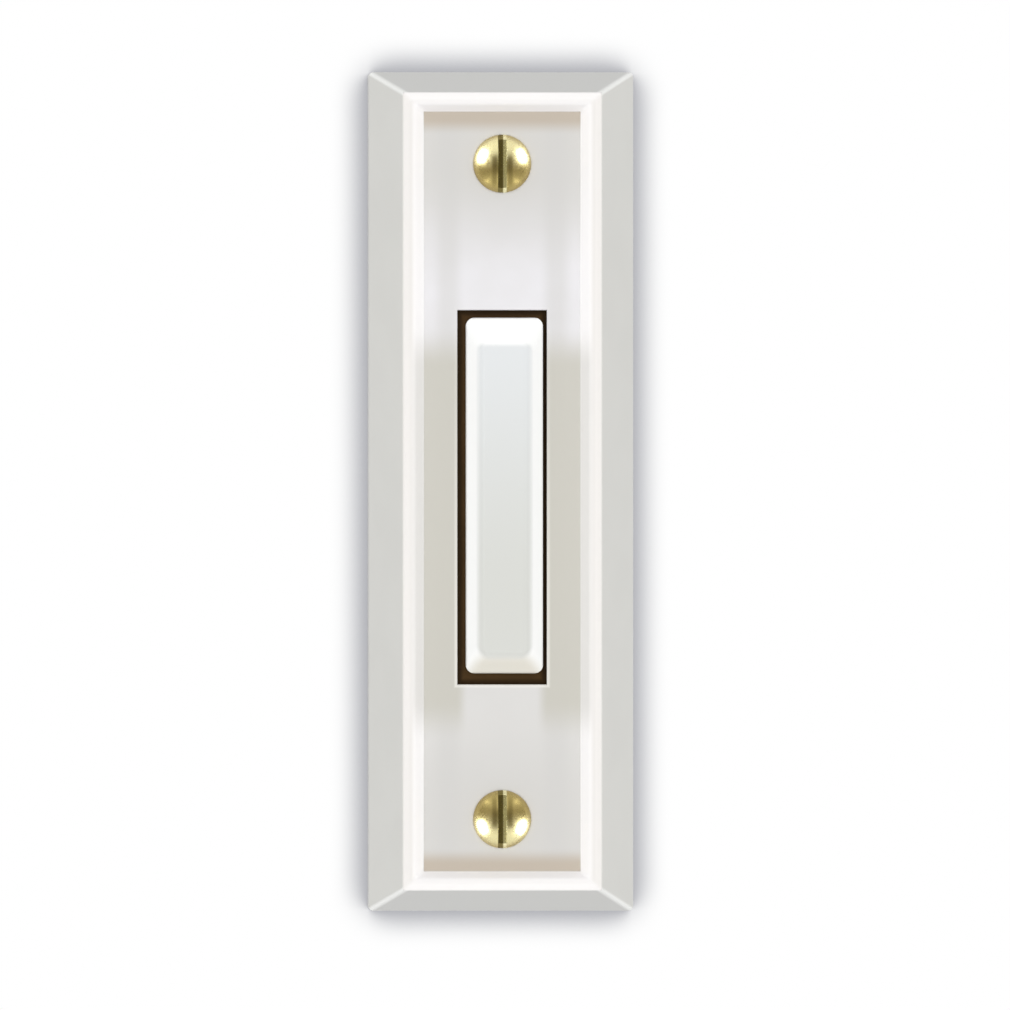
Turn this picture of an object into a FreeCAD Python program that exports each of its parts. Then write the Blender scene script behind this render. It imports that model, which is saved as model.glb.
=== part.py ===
"""Doorbell push button: a surface-mounted two-wire push with a lit bar.

Millimetres. As seen from the front, +X is right and +Z is up. The housing's back rim lies on the
wall plane y = 0 and the front faces -Y, so a depth d in front of the wall is at y = -d. The origin
is the centre of the back rim.
"""

import os
from math import cos, hypot, pi, sin, tan

import FreeCAD, Part
from FreeCAD import Vector

# Housing, outside
HOUSING_WIDTH = 27.0
HOUSING_LENGTH = 85.5
HOUSING_DEPTH = 11.8
FLANK_DEPTH = 5.5
BEVEL_RUN_SIDE = 3.38
BEVEL_RUN_END = 2.15
CORNER_RADIUS = 0.5
MITRE_RADIUS = 0.3
RIM_LAND = 1.05
RIM_EDGE_RADIUS = 0.2

# Housing, recessed front panel and its window
RECESS_DEPTH = 1.3
RECESS_SLOPE_SIDE = 1.1
RECESS_SLOPE_END = 0.9
RECESS_CORNER_RADIUS = 0.25
WINDOW_WIDTH = 9.1
WINDOW_LENGTH = 38.1
WINDOW_DROP = 0.6

# Housing, inside
WALL = 1.3
PANEL = 1.5
GUIDE_WALL = 1.0
GUIDE_CORNER_RADIUS = 0.5
BOSS_RADIUS = 3.5
BOSS_SHORT_OF_WALL = 0.3
WEB_THICKNESS = 1.0
WEB_SHORT_OF_WALL = 3.0
HOOK_FROM_PLATE_END = 3.85
HOOK_LENGTH = 5.0
HOOK_LEAD_IN = 1.6
HOOK_LAND = 0.4
HOOK_LAP = 0.6
LEDGE_THICKNESS = 1.2
LEDGE_LAP = 2.0

# Push bar
BAR_GAP_SIDE = 0.63
BAR_GAP_END = 0.95
BAR_SHIFT_RIGHT = 0.22
BAR_SHIFT_UP = 0.18
BAR_STAND = 2.0
BAR_CORNER_RADIUS = 0.9
BAR_WALL = 1.0
BAR_TRAVEL = 1.0
CROWN_SLOPE_HEIGHT = 1.15
CROWN_INSET_SIDE = 1.45
CROWN_INSET_TOP = 2.4
CROWN_INSET_BOTTOM = 1.9
CROWN_MITRE_RADIUS = 1.2
CROWN_EDGE_RADIUS = 0.45
CROWN_WALL = 1.2
FLANGE_THICKNESS = 1.0
FLANGE_LAP_SIDE = 0.8
FLANGE_LAP_END = 2.4
FLANGE_CORNER_RADIUS = 0.6
PUSHER_RADIUS = 1.0

# Bar carrier
PLUG_LENGTH = 2.5
PLUG_HEIGHT = 1.4
PLUG_CLEARANCE = 0.05
PEG_RADIUS = 1.1
PEG_LENGTH = 3.0

# Base plate
PLATE_BEHIND_CARRIER = 2.05
PLATE_THICKNESS = 1.5
PLATE_SIDE_GAP = 0.25
PLATE_END_GAP = 1.2
PLATE_CORNER_RADIUS = 1.5
CUP_WALL = 0.7
CUP_FLOOR = 0.8
CUP_DEPTH = 3.1
CRADLE_WIDTH = 4.2
CRADLE_THICKNESS = 1.0
CRADLE_INSET = 1.5

# Contacts
STRIP_THICKNESS = 0.25
STRIP_WIDTH = 3.4
STRIP_PAST_TERMINAL = 2.3
CONTACT_Z = -3.0
CONTACT_RADIUS = 1.1
CONTACT_SHANK_RADIUS = 0.6
FIXED_CONTACT_HEIGHT = 0.5
MOVING_CONTACT_HEIGHT = 0.4
LEAF_WIDTH = 4.0
LEAF_FREE_END = 1.6
LEAF_FLAT_LENGTH = 5.5
LEAF_RAMP_LENGTH = 3.6
LEAF_BEND_RADIUS = 0.8
LEAF_FOOT_LENGTH = 3.4
TAB_LENGTH = 3.8
TAB_WIDTH = 2.3

# Return springs
SPRING_WIRE = 0.35
SPRING_MEAN_RADIUS = 1.6
SPRING_TURNS = 3.0

# Lamp
BULB_RADIUS = 1.5
BULB_LENGTH = 8.0
BULB_SHORT_OF_PLUG = 1.0
BULB_TIP_RADIUS = 0.8
BULB_TIP_LENGTH = 0.9
LEAD_RADIUS = 0.2
LEAD_SPACING = 1.0
LEAD_LIFT = 0.05
LEAD_DROP = 1.5
SOLDER_RADIUS = 0.6
SOLDER_TOP_RADIUS = 0.35
SOLDER_HEIGHT = 0.55

# Terminals
TERMINAL_FROM_PLATE_EDGE = 2.65
TERMINAL_Z = -8.0
NUT_WIDTH = 3.8
NUT_LENGTH = 4.6
NUT_THICKNESS = 0.8
TERMINAL_SCREW_RADIUS = 1.3
TERMINAL_SCREW_SHORT_OF_NUT = 0.1
TERMINAL_HEAD_RADIUS = 2.3
TERMINAL_HEAD_HEIGHT = 1.5
WASHER_WIDTH = 4.8
WASHER_THICKNESS = 0.6

# Mounting screws
SCREW_FROM_END = 9.4
SCREW_LENGTH = 25.4
SCREW_POINT_LENGTH = 3.5
SCREW_SHANK_RADIUS = 1.2
SCREW_THREAD_RADIUS = 1.55
SCREW_HEAD_RADIUS = 2.95
SCREW_HEAD_HEIGHT = 1.9
SCREW_HEAD_EDGE = 0.35
SLOT_WIDTH = 0.85
SLOT_DEPTH = 1.0

# Clearances
STOP_CLEARANCE = 0.05
GUIDE_CLEARANCE = 0.15
GUIDE_BACK_CLEARANCE = 0.05
PUSHER_CLEARANCE = 0.05
CONTACT_CLEARANCE = 0.08
SPRING_CLEARANCE = 0.3
SPRING_END_CLEARANCE = 0.03
CROWN_TO_BULB = 0.4
CRADLE_CLEARANCE = 0.05
HOLE_CLEARANCE = 0.05
HOOK_CLEARANCE = 0.05
SCREW_HOLE_CLEARANCE = 0.2

# Depths in front of the wall that the pieces share
FLOOR = HOUSING_DEPTH - RECESS_DEPTH
PANEL_BACK = FLOOR - PANEL
BAR_CROWN = FLOOR + BAR_STAND
CROWN_UNDERSIDE = BAR_CROWN - CROWN_WALL
FLANGE_FRONT = PANEL_BACK - STOP_CLEARANCE
FLANGE_BACK = FLANGE_FRONT - FLANGE_THICKNESS
PLATE_FRONT = FLANGE_BACK - PLATE_BEHIND_CARRIER
PLATE_BACK = PLATE_FRONT - PLATE_THICKNESS
STRIP_FRONT = PLATE_FRONT + STRIP_THICKNESS
CONTACT_FACE = STRIP_FRONT + FIXED_CONTACT_HEIGHT
MOVING_FACE = CONTACT_FACE + BAR_TRAVEL + CONTACT_CLEARANCE
LEAF_BACK = MOVING_FACE + MOVING_CONTACT_HEIGHT
LEAF_FRONT = LEAF_BACK + STRIP_THICKNESS
GUIDE_BACK = FLANGE_BACK - BAR_TRAVEL + GUIDE_BACK_CLEARANCE
BULB_DEPTH = CROWN_UNDERSIDE - BAR_TRAVEL - CROWN_TO_BULB - BULB_RADIUS
CUP_BOTTOM = PLATE_FRONT - CUP_DEPTH
NUT_FRONT = STRIP_FRONT + NUT_THICKNESS
WASHER_BACK = PLATE_BACK - WASHER_THICKNESS

# Places and sizes across the front that the pieces share
WINDOW_Z = -WINDOW_DROP
BAR_X = BAR_SHIFT_RIGHT
BAR_Z = WINDOW_Z + BAR_SHIFT_UP
BAR_WIDTH = WINDOW_WIDTH - 2 * BAR_GAP_SIDE
BAR_LENGTH = WINDOW_LENGTH - 2 * BAR_GAP_END
HOLLOW_WIDTH = BAR_WIDTH - 2 * BAR_WALL
HOLLOW_LENGTH = BAR_LENGTH - 2 * BAR_WALL
HOLLOW_CORNER_RADIUS = BAR_CORNER_RADIUS / 2
FLANGE_WIDTH = WINDOW_WIDTH + 2 * FLANGE_LAP_SIDE
FLANGE_LENGTH = WINDOW_LENGTH + 2 * FLANGE_LAP_END
SPRING_OFFSET = (HOLLOW_LENGTH + FLANGE_LENGTH) / 4
SPRING_OUTER_RADIUS = SPRING_MEAN_RADIUS + SPRING_WIRE / 2
CUP_RADIUS = SPRING_OUTER_RADIUS + SPRING_CLEARANCE
BULB_Z = BAR_Z + HOLLOW_LENGTH / 2 - PLUG_LENGTH - BULB_SHORT_OF_PLUG - BULB_LENGTH / 2
SCREW_Z = HOUSING_LENGTH / 2 - SCREW_FROM_END
SCREW_HOLE_RADIUS = SCREW_THREAD_RADIUS + SCREW_HOLE_CLEARANCE
LEAF_FOOT_Z = CONTACT_Z + LEAF_FREE_END - LEAF_FLAT_LENGTH - LEAF_RAMP_LENGTH
PLATE_LENGTH = 2 * (SCREW_Z - BOSS_RADIUS - PLATE_END_GAP)
HOOK_Z = PLATE_LENGTH / 2 - HOOK_FROM_PLATE_END


def bevel_inset(depth, wall, run):
    """How far in from the flank a bevel face lies at one depth, set in by a wall."""
    rise = HOUSING_DEPTH - FLANK_DEPTH
    return run * (depth - FLANK_DEPTH) / rise + wall * hypot(1, run / rise)


# The widest base plate that clears the cavity's narrowing sides, and the terminals on it
PLATE_INSET = max(WALL, bevel_inset(PLATE_FRONT, WALL, BEVEL_RUN_SIDE))
PLATE_WIDTH = HOUSING_WIDTH - 2 * (PLATE_INSET + PLATE_SIDE_GAP)
TERMINAL_X = PLATE_WIDTH / 2 - TERMINAL_FROM_PLATE_EDGE


# Basic forms

def at(x, depth, z):
    """The point x to the right and z up, at a depth in front of the wall."""
    return Vector(x, -depth, z)


def outline(width, length, radius, depth, x=0.0, z=0.0):
    """A closed rounded rectangle that faces the front, at one depth."""
    right, left = x + width / 2, x - width / 2
    top, bottom = z + length / 2, z - length / 2
    diagonal = radius * (1 - 0.5 ** 0.5)
    corners = (
        ((right - radius, top), (right - diagonal, top - diagonal), (right, top - radius)),
        ((right, bottom + radius), (right - diagonal, bottom + diagonal), (right - radius, bottom)),
        ((left + radius, bottom), (left + diagonal, bottom + diagonal), (left, bottom + radius)),
        ((left, top - radius), (left + diagonal, top - diagonal), (left + radius, top)),
    )
    edges = []
    for index, corner in enumerate(corners):
        first, middle, last = (at(px, depth, pz) for px, pz in corner)
        following = corners[(index + 1) % 4][0]
        edges.append(Part.Arc(first, middle, last).toShape())
        edges.append(Part.makeLine(last, at(following[0], depth, following[1])))
    return Part.Wire(edges)


def prism(width, length, radius, back, front, x=0.0, z=0.0):
    """A block with rounded corners between two depths."""
    face = Part.Face(outline(width, length, radius, back, x, z))
    return face.extrude(at(0, front - back, 0))


def block(left, right, bottom, top, back, front):
    """A plain block between two depths."""
    return Part.makeBox(right - left, front - back, top - bottom, at(left, front, bottom))


def rod(x, z, radius, back, front):
    """A cylinder whose axis runs from back to front."""
    return Part.makeCylinder(radius, front - back, at(x, back, z), at(0, 1, 0))


def turned(profile, x, z):
    """A turned piece: a closed profile of (radius, depth) corners about a front-to-back axis."""
    points = [at(x + radius, depth, z) for radius, depth in profile]
    face = Part.Face(Part.makePolygon(points + points[:1]))
    return face.revolve(at(x, 0, z), at(0, 1, 0), 360)


def both_sides(half, middle=0.0):
    """A section's corners on both sides of its middle, from (distance, depth) on one side."""
    right = [(middle + distance, depth) for distance, depth in half]
    return right + [(middle - distance, depth) for distance, depth in reversed(half)]


def hipped(across, along):
    """The solid that has one section from side to side and the other from end to end."""
    left, right = min(x for x, _ in across), max(x for x, _ in across)
    bottom, top = min(z for z, _ in along), max(z for z, _ in along)
    first = [at(x, depth, bottom) for x, depth in across]
    second = [at(left, depth, z) for z, depth in along]
    upright = Part.Face(Part.makePolygon(first + first[:1])).extrude(Vector(0, 0, top - bottom))
    sideways = Part.Face(Part.makePolygon(second + second[:1])).extrude(Vector(right - left, 0, 0))
    return upright.common(sideways)


def dome(x, z, radius, base, height):
    """A low dome on a flat base. A negative height makes it point at the wall."""
    rim, top = at(x + radius, base, z), at(x, base + height, z)
    sphere = (radius ** 2 + height ** 2) / (2 * abs(height))
    centre = base + height - sphere * (1 if height > 0 else -1)
    half = height / 2 + base
    mid_radius = (sphere ** 2 - (half - centre) ** 2) ** 0.5
    arc = Part.Arc(rim, at(x + mid_radius, half, z), top).toShape()
    foot = at(x, base, z)
    wire = Part.Wire([Part.makeLine(foot, rim), arc, Part.makeLine(top, foot)])
    return Part.Face(wire).revolve(at(x, 0, z), at(0, 1, 0), 360)


def edges_at_depth(shape, depth):
    """The edges of a shape that lie wholly at one depth."""
    return [e for e in shape.Edges if all(abs(v.Point.y + depth) < 1e-6 for v in e.Vertexes)]


def mitre_edges(shape):
    """The edges where two sloped faces of a hipped solid meet."""
    found = []
    for edge in shape.Edges:
        run = edge.Vertexes[-1].Point - edge.Vertexes[0].Point
        if min(abs(run.x), abs(run.y), abs(run.z)) > 0.1 and edge.Curve.TypeId == "Part::GeomLine":
            found.append(edge)
    return found


def rounded_path(points, radius):
    """A wire of straight runs through the points, joined by tangent arcs."""
    edges, start = [], points[0]
    for before, corner, after in zip(points, points[1:], points[2:]):
        inward = (before - corner).normalize()
        outward = (after - corner).normalize()
        half_angle = inward.getAngle(outward) / 2
        setback = radius / tan(half_angle)
        enter, leave = corner + inward * setback, corner + outward * setback
        middle = corner + (inward + outward).normalize() * (radius / sin(half_angle) - radius)
        edges.append(Part.makeLine(start, enter))
        edges.append(Part.Arc(enter, middle, leave).toShape())
        start = leave
    edges.append(Part.makeLine(start, points[-1]))
    return Part.Wire(edges)


def wire_section(radius, centre, first, second):
    """The six-sided section of a drawn wire, equal in area to the round one, across two directions."""
    corner = radius * (2 * pi / (6 * sin(pi / 3))) ** 0.5
    points = []
    for step in range(7):
        angle = step * pi / 3
        points.append(centre + first * (corner * cos(angle)) + second * (corner * sin(angle)))
    return Part.makePolygon(points)


def wire_along(points, radius):
    """A wire that leaves its first point downwards and follows straight runs with sharp bends."""
    section = wire_section(radius, points[0], Vector(1, 0, 0), Vector(0, 1, 0))
    return Part.makePolygon(points).makePipeShell([section], True, False, 1)


# Front housing

def bevel_section(half, run, wall):
    """The flank and the bevel on both sides of the middle, set in by a wall."""
    rise = HOUSING_DEPTH - FLANK_DEPTH
    turn = FLANK_DEPTH - wall * (hypot(1, run / rise) - 1) * rise / run
    front = HOUSING_DEPTH - wall
    side = ((half - wall, 0), (half - wall, turn), (half - bevel_inset(front, wall, run), front))
    return both_sides(side)


def recess_section(half, run, slope, wall, back, front):
    """The recess's two sloped sides between two depths, set out by a wall."""
    side = []
    for depth in (back, front):
        climbed = (depth - FLOOR) / RECESS_DEPTH
        inset = run + RIM_LAND + slope * (1 - climbed) - wall * hypot(1, slope / RECESS_DEPTH)
        side.append((half - inset, depth))
    return both_sides(side)


def hipped_bevel(wall):
    """The space within the flank and the bevel's four faces."""
    return hipped(
        bevel_section(HOUSING_WIDTH / 2, BEVEL_RUN_SIDE, wall),
        bevel_section(HOUSING_LENGTH / 2, BEVEL_RUN_END, wall),
    )


def hipped_recess(wall, back, front):
    """The space within the recess's four sloped sides."""
    return hipped(
        recess_section(HOUSING_WIDTH / 2, BEVEL_RUN_SIDE, RECESS_SLOPE_SIDE, wall, back, front),
        recess_section(HOUSING_LENGTH / 2, BEVEL_RUN_END, RECESS_SLOPE_END, wall, back, front),
    )


def housing_outside():
    """Straight flank with rounded corners, then the mitred bevel up to the rim."""
    rounded = prism(HOUSING_WIDTH, HOUSING_LENGTH, CORNER_RADIUS, 0, HOUSING_DEPTH)
    outside = hipped_bevel(0).common(rounded)
    outside = outside.makeFillet(MITRE_RADIUS, mitre_edges(outside))
    return outside.makeFillet(RIM_EDGE_RADIUS, edges_at_depth(outside, HOUSING_DEPTH))


def plate_hook(side, z):
    """A snap hook on the side wall that holds the base plate from behind."""
    wall_x = HOUSING_WIDTH / 2 - WALL
    catch = PLATE_BACK - HOOK_CLEARANCE
    tip_x = PLATE_WIDTH / 2 - HOOK_LAP
    corners = ((wall_x, catch), (tip_x, catch), (tip_x, catch - HOOK_LAND), (wall_x, catch - HOOK_LEAD_IN))
    points = [at(side * x, depth, z - HOOK_LENGTH / 2) for x, depth in corners]
    return Part.Face(Part.makePolygon(points + points[:1])).extrude(Vector(0, 0, HOOK_LENGTH))


def plate_ledge(side, z):
    """A rib behind the panel that the base plate's edge rests on."""
    inner, outer = side * (PLATE_WIDTH / 2 - LEDGE_LAP), side * HOUSING_WIDTH / 2
    return block(
        min(inner, outer), max(inner, outer), z - LEDGE_THICKNESS / 2, z + LEDGE_THICKNESS / 2,
        PLATE_FRONT, PANEL_BACK,
    )


def guide_frame():
    """The wall behind the panel that the bar's flange slides in."""
    width = FLANGE_WIDTH + 2 * GUIDE_CLEARANCE
    length = FLANGE_LENGTH + 2 * GUIDE_CLEARANCE
    outer_x, outer_z = width / 2 + GUIDE_WALL, length / 2 + GUIDE_WALL
    outer = block(
        BAR_X - outer_x, BAR_X + outer_x, BAR_Z - outer_z, BAR_Z + outer_z, GUIDE_BACK, PANEL_BACK
    )
    inner = prism(width, length, GUIDE_CORNER_RADIUS, GUIDE_BACK, PANEL_BACK, BAR_X, BAR_Z)
    return outer.cut(inner)


def front_housing():
    """One moulding: shell, panel, bosses with webs, guide frame, ledges and hooks."""
    outside = housing_outside()
    inside = [hipped_recess(WALL, PANEL_BACK, HOUSING_DEPTH), guide_frame()]
    for end in (1, -1):
        inside.append(rod(0, end * SCREW_Z, BOSS_RADIUS, BOSS_SHORT_OF_WALL, PANEL_BACK))
        web = block(
            -HOUSING_WIDTH / 2, HOUSING_WIDTH / 2,
            end * SCREW_Z - WEB_THICKNESS / 2, end * SCREW_Z + WEB_THICKNESS / 2,
            WEB_SHORT_OF_WALL, PANEL_BACK,
        )
        inside.append(web)
        for side in (1, -1):
            inside.append(plate_hook(side, end * HOOK_Z))
            inside.append(plate_ledge(side, end * HOOK_Z))
    shell = outside.cut(hipped_bevel(WALL)).fuse([piece.common(outside) for piece in inside])
    recess = hipped_recess(0, FLOOR, HOUSING_DEPTH + RIM_LAND)
    recess = recess.makeFillet(RECESS_CORNER_RADIUS, mitre_edges(recess))
    window = block(
        -WINDOW_WIDTH / 2, WINDOW_WIDTH / 2,
        WINDOW_Z - WINDOW_LENGTH / 2, WINDOW_Z + WINDOW_LENGTH / 2,
        PANEL_BACK, FLOOR,
    )
    holes = [rod(0, end * SCREW_Z, SCREW_HOLE_RADIUS, 0, FLOOR) for end in (1, -1)]
    return shell.cut([recess, window] + holes).removeSplitter()


# Push bar and its carrier

def crown_section(length, first_inset, last_inset, middle):
    """The bar's section one way: straight body, then a slope at each side of the crown."""
    shoulder = BAR_CROWN - CROWN_SLOPE_HEIGHT
    first, last = middle - length / 2, middle + length / 2
    return (
        (last, FLANGE_FRONT), (last, shoulder), (last - last_inset, BAR_CROWN),
        (first + first_inset, BAR_CROWN), (first, shoulder), (first, FLANGE_FRONT),
    )


def push_bar():
    """One translucent moulding: sloped crown, hollow body and pusher pin."""
    body = prism(BAR_WIDTH, BAR_LENGTH, BAR_CORNER_RADIUS, FLANGE_FRONT, BAR_CROWN, BAR_X, BAR_Z)
    slopes = hipped(
        crown_section(BAR_WIDTH, CROWN_INSET_SIDE, CROWN_INSET_SIDE, BAR_X),
        crown_section(BAR_LENGTH, CROWN_INSET_BOTTOM, CROWN_INSET_TOP, BAR_Z),
    )
    solid = slopes.common(body)
    solid = solid.makeFillet(CROWN_MITRE_RADIUS, mitre_edges(solid))
    solid = solid.makeFillet(CROWN_EDGE_RADIUS, edges_at_depth(solid, BAR_CROWN))
    hollow = prism(
        HOLLOW_WIDTH, HOLLOW_LENGTH, HOLLOW_CORNER_RADIUS, FLANGE_FRONT, CROWN_UNDERSIDE, BAR_X, BAR_Z
    )
    pusher = rod(BAR_X, CONTACT_Z, PUSHER_RADIUS, LEAF_FRONT + PUSHER_CLEARANCE, CROWN_UNDERSIDE)
    return solid.cut(hollow).fuse(pusher).removeSplitter()


def bar_carrier():
    """The dark frame that holds the bar: flange, two plugs inside the bar and two spring pegs."""
    flange = prism(
        FLANGE_WIDTH, FLANGE_LENGTH, FLANGE_CORNER_RADIUS, FLANGE_BACK, FLANGE_FRONT, BAR_X, BAR_Z
    )
    plugs = prism(
        HOLLOW_WIDTH - 2 * PLUG_CLEARANCE, HOLLOW_LENGTH - 2 * PLUG_CLEARANCE, HOLLOW_CORNER_RADIUS,
        FLANGE_FRONT, FLANGE_FRONT + PLUG_HEIGHT, BAR_X, BAR_Z,
    )
    opening = prism(
        HOLLOW_WIDTH, HOLLOW_LENGTH - 2 * PLUG_LENGTH, HOLLOW_CORNER_RADIUS / 2,
        FLANGE_BACK, FLANGE_FRONT + PLUG_HEIGHT, BAR_X, BAR_Z,
    )
    pegs = [
        rod(BAR_X, BAR_Z + end * SPRING_OFFSET, PEG_RADIUS, FLANGE_BACK - PEG_LENGTH, FLANGE_BACK)
        for end in (1, -1)
    ]
    return flange.fuse(plugs).cut(opening).fuse(pegs).removeSplitter()


# Base plate

def base_plate():
    """The insulating plate, with a cup behind each spring and a cradle for the lamp."""
    plate = prism(PLATE_WIDTH, PLATE_LENGTH, PLATE_CORNER_RADIUS, PLATE_BACK, PLATE_FRONT)
    added, holes = [], []
    for end in (1, -1):
        z = BAR_Z + end * SPRING_OFFSET
        added.append(rod(BAR_X, z, CUP_RADIUS + CUP_WALL, CUP_BOTTOM - CUP_FLOOR, PLATE_BACK))
        holes.append(rod(BAR_X, z, CUP_RADIUS, CUP_BOTTOM, PLATE_FRONT))
        reach = BULB_LENGTH / 2 - CRADLE_INSET
        rib_z = BULB_Z + end * reach
        added.append(block(
            BAR_X - CRADLE_WIDTH / 2, BAR_X + CRADLE_WIDTH / 2,
            rib_z - CRADLE_THICKNESS / 2, rib_z + CRADLE_THICKNESS / 2,
            PLATE_FRONT, BULB_DEPTH,
        ))
    for side in (1, -1):
        hole = TERMINAL_SCREW_RADIUS + HOLE_CLEARANCE
        holes.append(rod(side * TERMINAL_X, TERMINAL_Z, hole, PLATE_BACK, PLATE_FRONT))
    notch = Part.makeCylinder(
        BULB_RADIUS + CRADLE_CLEARANCE, BULB_LENGTH,
        at(BAR_X, BULB_DEPTH, BULB_Z - BULB_LENGTH / 2), Vector(0, 0, 1),
    )
    return plate.fuse(added).cut(holes + [notch]).removeSplitter()


# Contacts

def flat_strip(*places):
    """A flat pressed shape on the base plate, from (left, right, bottom, top) stretches."""
    stretches = [block(*place, PLATE_FRONT, STRIP_FRONT) for place in places]
    return stretches[0].fuse(stretches[1:])


def terminal_hole(side):
    """The hole that a terminal's screw leaves in its strip."""
    return rod(
        side * TERMINAL_X, TERMINAL_Z, TERMINAL_SCREW_RADIUS + HOLE_CLEARANCE, PLATE_FRONT, STRIP_FRONT
    )


def contact_leaf():
    """One bent strip: foot on the plate, ramp, and a flat free end under the pusher."""
    middle = STRIP_THICKNESS / 2
    foot, ramp = LEAF_FOOT_Z, LEAF_FOOT_Z + LEAF_RAMP_LENGTH
    tip = CONTACT_Z + LEAF_FREE_END
    x = BAR_X - LEAF_WIDTH / 2
    line = rounded_path(
        [
            at(x, PLATE_FRONT + middle, foot - LEAF_FOOT_LENGTH),
            at(x, PLATE_FRONT + middle, foot),
            at(x, LEAF_BACK + middle, ramp),
            at(x, LEAF_BACK + middle, tip),
        ],
        LEAF_BEND_RADIUS,
    )
    inner = line.makeOffset2D(-middle, openResult=True)
    section = inner.makeOffset2D(STRIP_THICKNESS, fill=True, openResult=True)
    bent = section.extrude(Vector(LEAF_WIDTH, 0, 0))
    left, inner_edge = -TERMINAL_X - STRIP_WIDTH / 2, -TERMINAL_X + STRIP_WIDTH / 2
    arm = flat_strip(
        (left, BAR_X, foot - LEAF_FOOT_LENGTH, foot - LEAF_FOOT_LENGTH + STRIP_WIDTH),
        (left, inner_edge, foot - LEAF_FOOT_LENGTH, TERMINAL_Z + STRIP_PAST_TERMINAL),
        (
            -TERMINAL_X - TAB_WIDTH / 2, -TERMINAL_X + TAB_WIDTH / 2,
            TERMINAL_Z, TERMINAL_Z + TAB_LENGTH,
        ),
    )
    hole = rod(BAR_X, CONTACT_Z, CONTACT_SHANK_RADIUS + HOLE_CLEARANCE, LEAF_BACK, LEAF_FRONT)
    return arm.fuse(bent).cut([hole, terminal_hole(-1)]).removeSplitter()


def fixed_strip():
    """The flat strip under the leaf, out to the right-hand terminal, with a tab for the lamp."""
    outer, inner_edge = TERMINAL_X + STRIP_WIDTH / 2, TERMINAL_X - STRIP_WIDTH / 2
    lead_x = BAR_X + LEAD_SPACING / 2
    strip = flat_strip(
        (BAR_X - STRIP_WIDTH / 2, outer, CONTACT_Z - STRIP_WIDTH / 2, CONTACT_Z + STRIP_WIDTH / 2),
        (inner_edge, outer, TERMINAL_Z - STRIP_PAST_TERMINAL, CONTACT_Z),
        (
            lead_x - SOLDER_RADIUS, lead_x - SOLDER_RADIUS + TAB_WIDTH,
            CONTACT_Z, lamp_base_z() - LEAD_DROP + SOLDER_RADIUS,
        ),
    )
    hole = rod(BAR_X, CONTACT_Z, CONTACT_SHANK_RADIUS + HOLE_CLEARANCE, PLATE_FRONT, STRIP_FRONT)
    return strip.cut([hole, terminal_hole(1)]).removeSplitter()


def contact_rivet(shank_end, seat, face):
    """A flat contact on a short shank, from the depth where its head sits to that of its face."""
    shank = rod(BAR_X, CONTACT_Z, CONTACT_SHANK_RADIUS, min(shank_end, seat), max(shank_end, seat))
    head = rod(BAR_X, CONTACT_Z, CONTACT_RADIUS, min(seat, face), max(seat, face))
    return shank.fuse(head).removeSplitter()


# Return springs

def return_spring(z):
    """A coil between the cup's floor and the bar's flange."""
    back = CUP_BOTTOM
    front = FLANGE_BACK - SPRING_END_CLEARANCE
    climb = front - back - SPRING_WIRE - SPRING_END_CLEARANCE
    helix = Part.makeHelix(climb / SPRING_TURNS, climb, SPRING_MEAN_RADIUS)
    start = Vector(SPRING_MEAN_RADIUS, 0, 0)
    section = wire_section(SPRING_WIRE / 2, start, Vector(1, 0, 0), Vector(0, 0, 1))
    coil = Part.Wire(helix.Edges).makePipeShell([section], True, True)
    coil.rotate(Vector(0, 0, 0), Vector(1, 0, 0), 90)
    coil.translate(at(BAR_X, back + SPRING_WIRE / 2 + SPRING_END_CLEARANCE, z))
    return coil


# Lamp

def lamp_base_z():
    """The height of the lamp's flat lower end, where its leads come out."""
    return BULB_Z - BULB_LENGTH / 2


def lamp_bulb():
    """A small sealed tube, drawn in at its upper end."""
    base, top = lamp_base_z(), lamp_base_z() + BULB_LENGTH
    profile = (
        (0, base), (BULB_RADIUS, base), (BULB_RADIUS, top - BULB_TIP_LENGTH),
        (BULB_TIP_RADIUS, top), (0, top),
    )
    points = [at(BAR_X + radius, BULB_DEPTH, z) for radius, z in profile]
    face = Part.Face(Part.makePolygon(points + points[:1]))
    return face.revolve(at(BAR_X, BULB_DEPTH, 0), Vector(0, 0, 1), 360)


def lamp_lead(points):
    """A lead along its bends, with a dot of solder where it ends on a strip."""
    end, top = points[-1], STRIP_FRONT + SOLDER_HEIGHT
    profile = ((0, STRIP_FRONT), (SOLDER_RADIUS, STRIP_FRONT), (SOLDER_TOP_RADIUS, top), (0, top))
    solder = turned(profile, end.x, end.z)
    return wire_along(points, LEAD_RADIUS).fuse(solder).removeSplitter()


def lamp_lead_right():
    """Straight back onto the fixed strip's tab."""
    x, turn = BAR_X + LEAD_SPACING / 2, lamp_base_z() - LEAD_DROP
    return lamp_lead([
        at(x, BULB_DEPTH, lamp_base_z()),
        at(x, BULB_DEPTH, turn),
        at(x, STRIP_FRONT + LEAD_LIFT, turn),
    ])


def lamp_lead_left():
    """Back to the plate, across under the guide frame and down to the leaf's tab."""
    x, turn = BAR_X - LEAD_SPACING / 2, lamp_base_z() - LEAD_DROP
    run = STRIP_FRONT + LEAD_RADIUS + LEAD_LIFT
    tab = TERMINAL_Z + TAB_LENGTH - SOLDER_RADIUS
    return lamp_lead([
        at(x, BULB_DEPTH, lamp_base_z()),
        at(x, BULB_DEPTH, turn),
        at(x, run, turn),
        at(-TERMINAL_X, run, turn),
        at(-TERMINAL_X, run, tab),
    ])


# Terminals and screws

def slot_across(x, z, radius, top):
    """The saw cut up and down a screw head whose highest point is at one depth."""
    return block(
        x - SLOT_WIDTH / 2, x + SLOT_WIDTH / 2, z - radius, z + radius, top - SLOT_DEPTH, top + SLOT_DEPTH
    )


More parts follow.
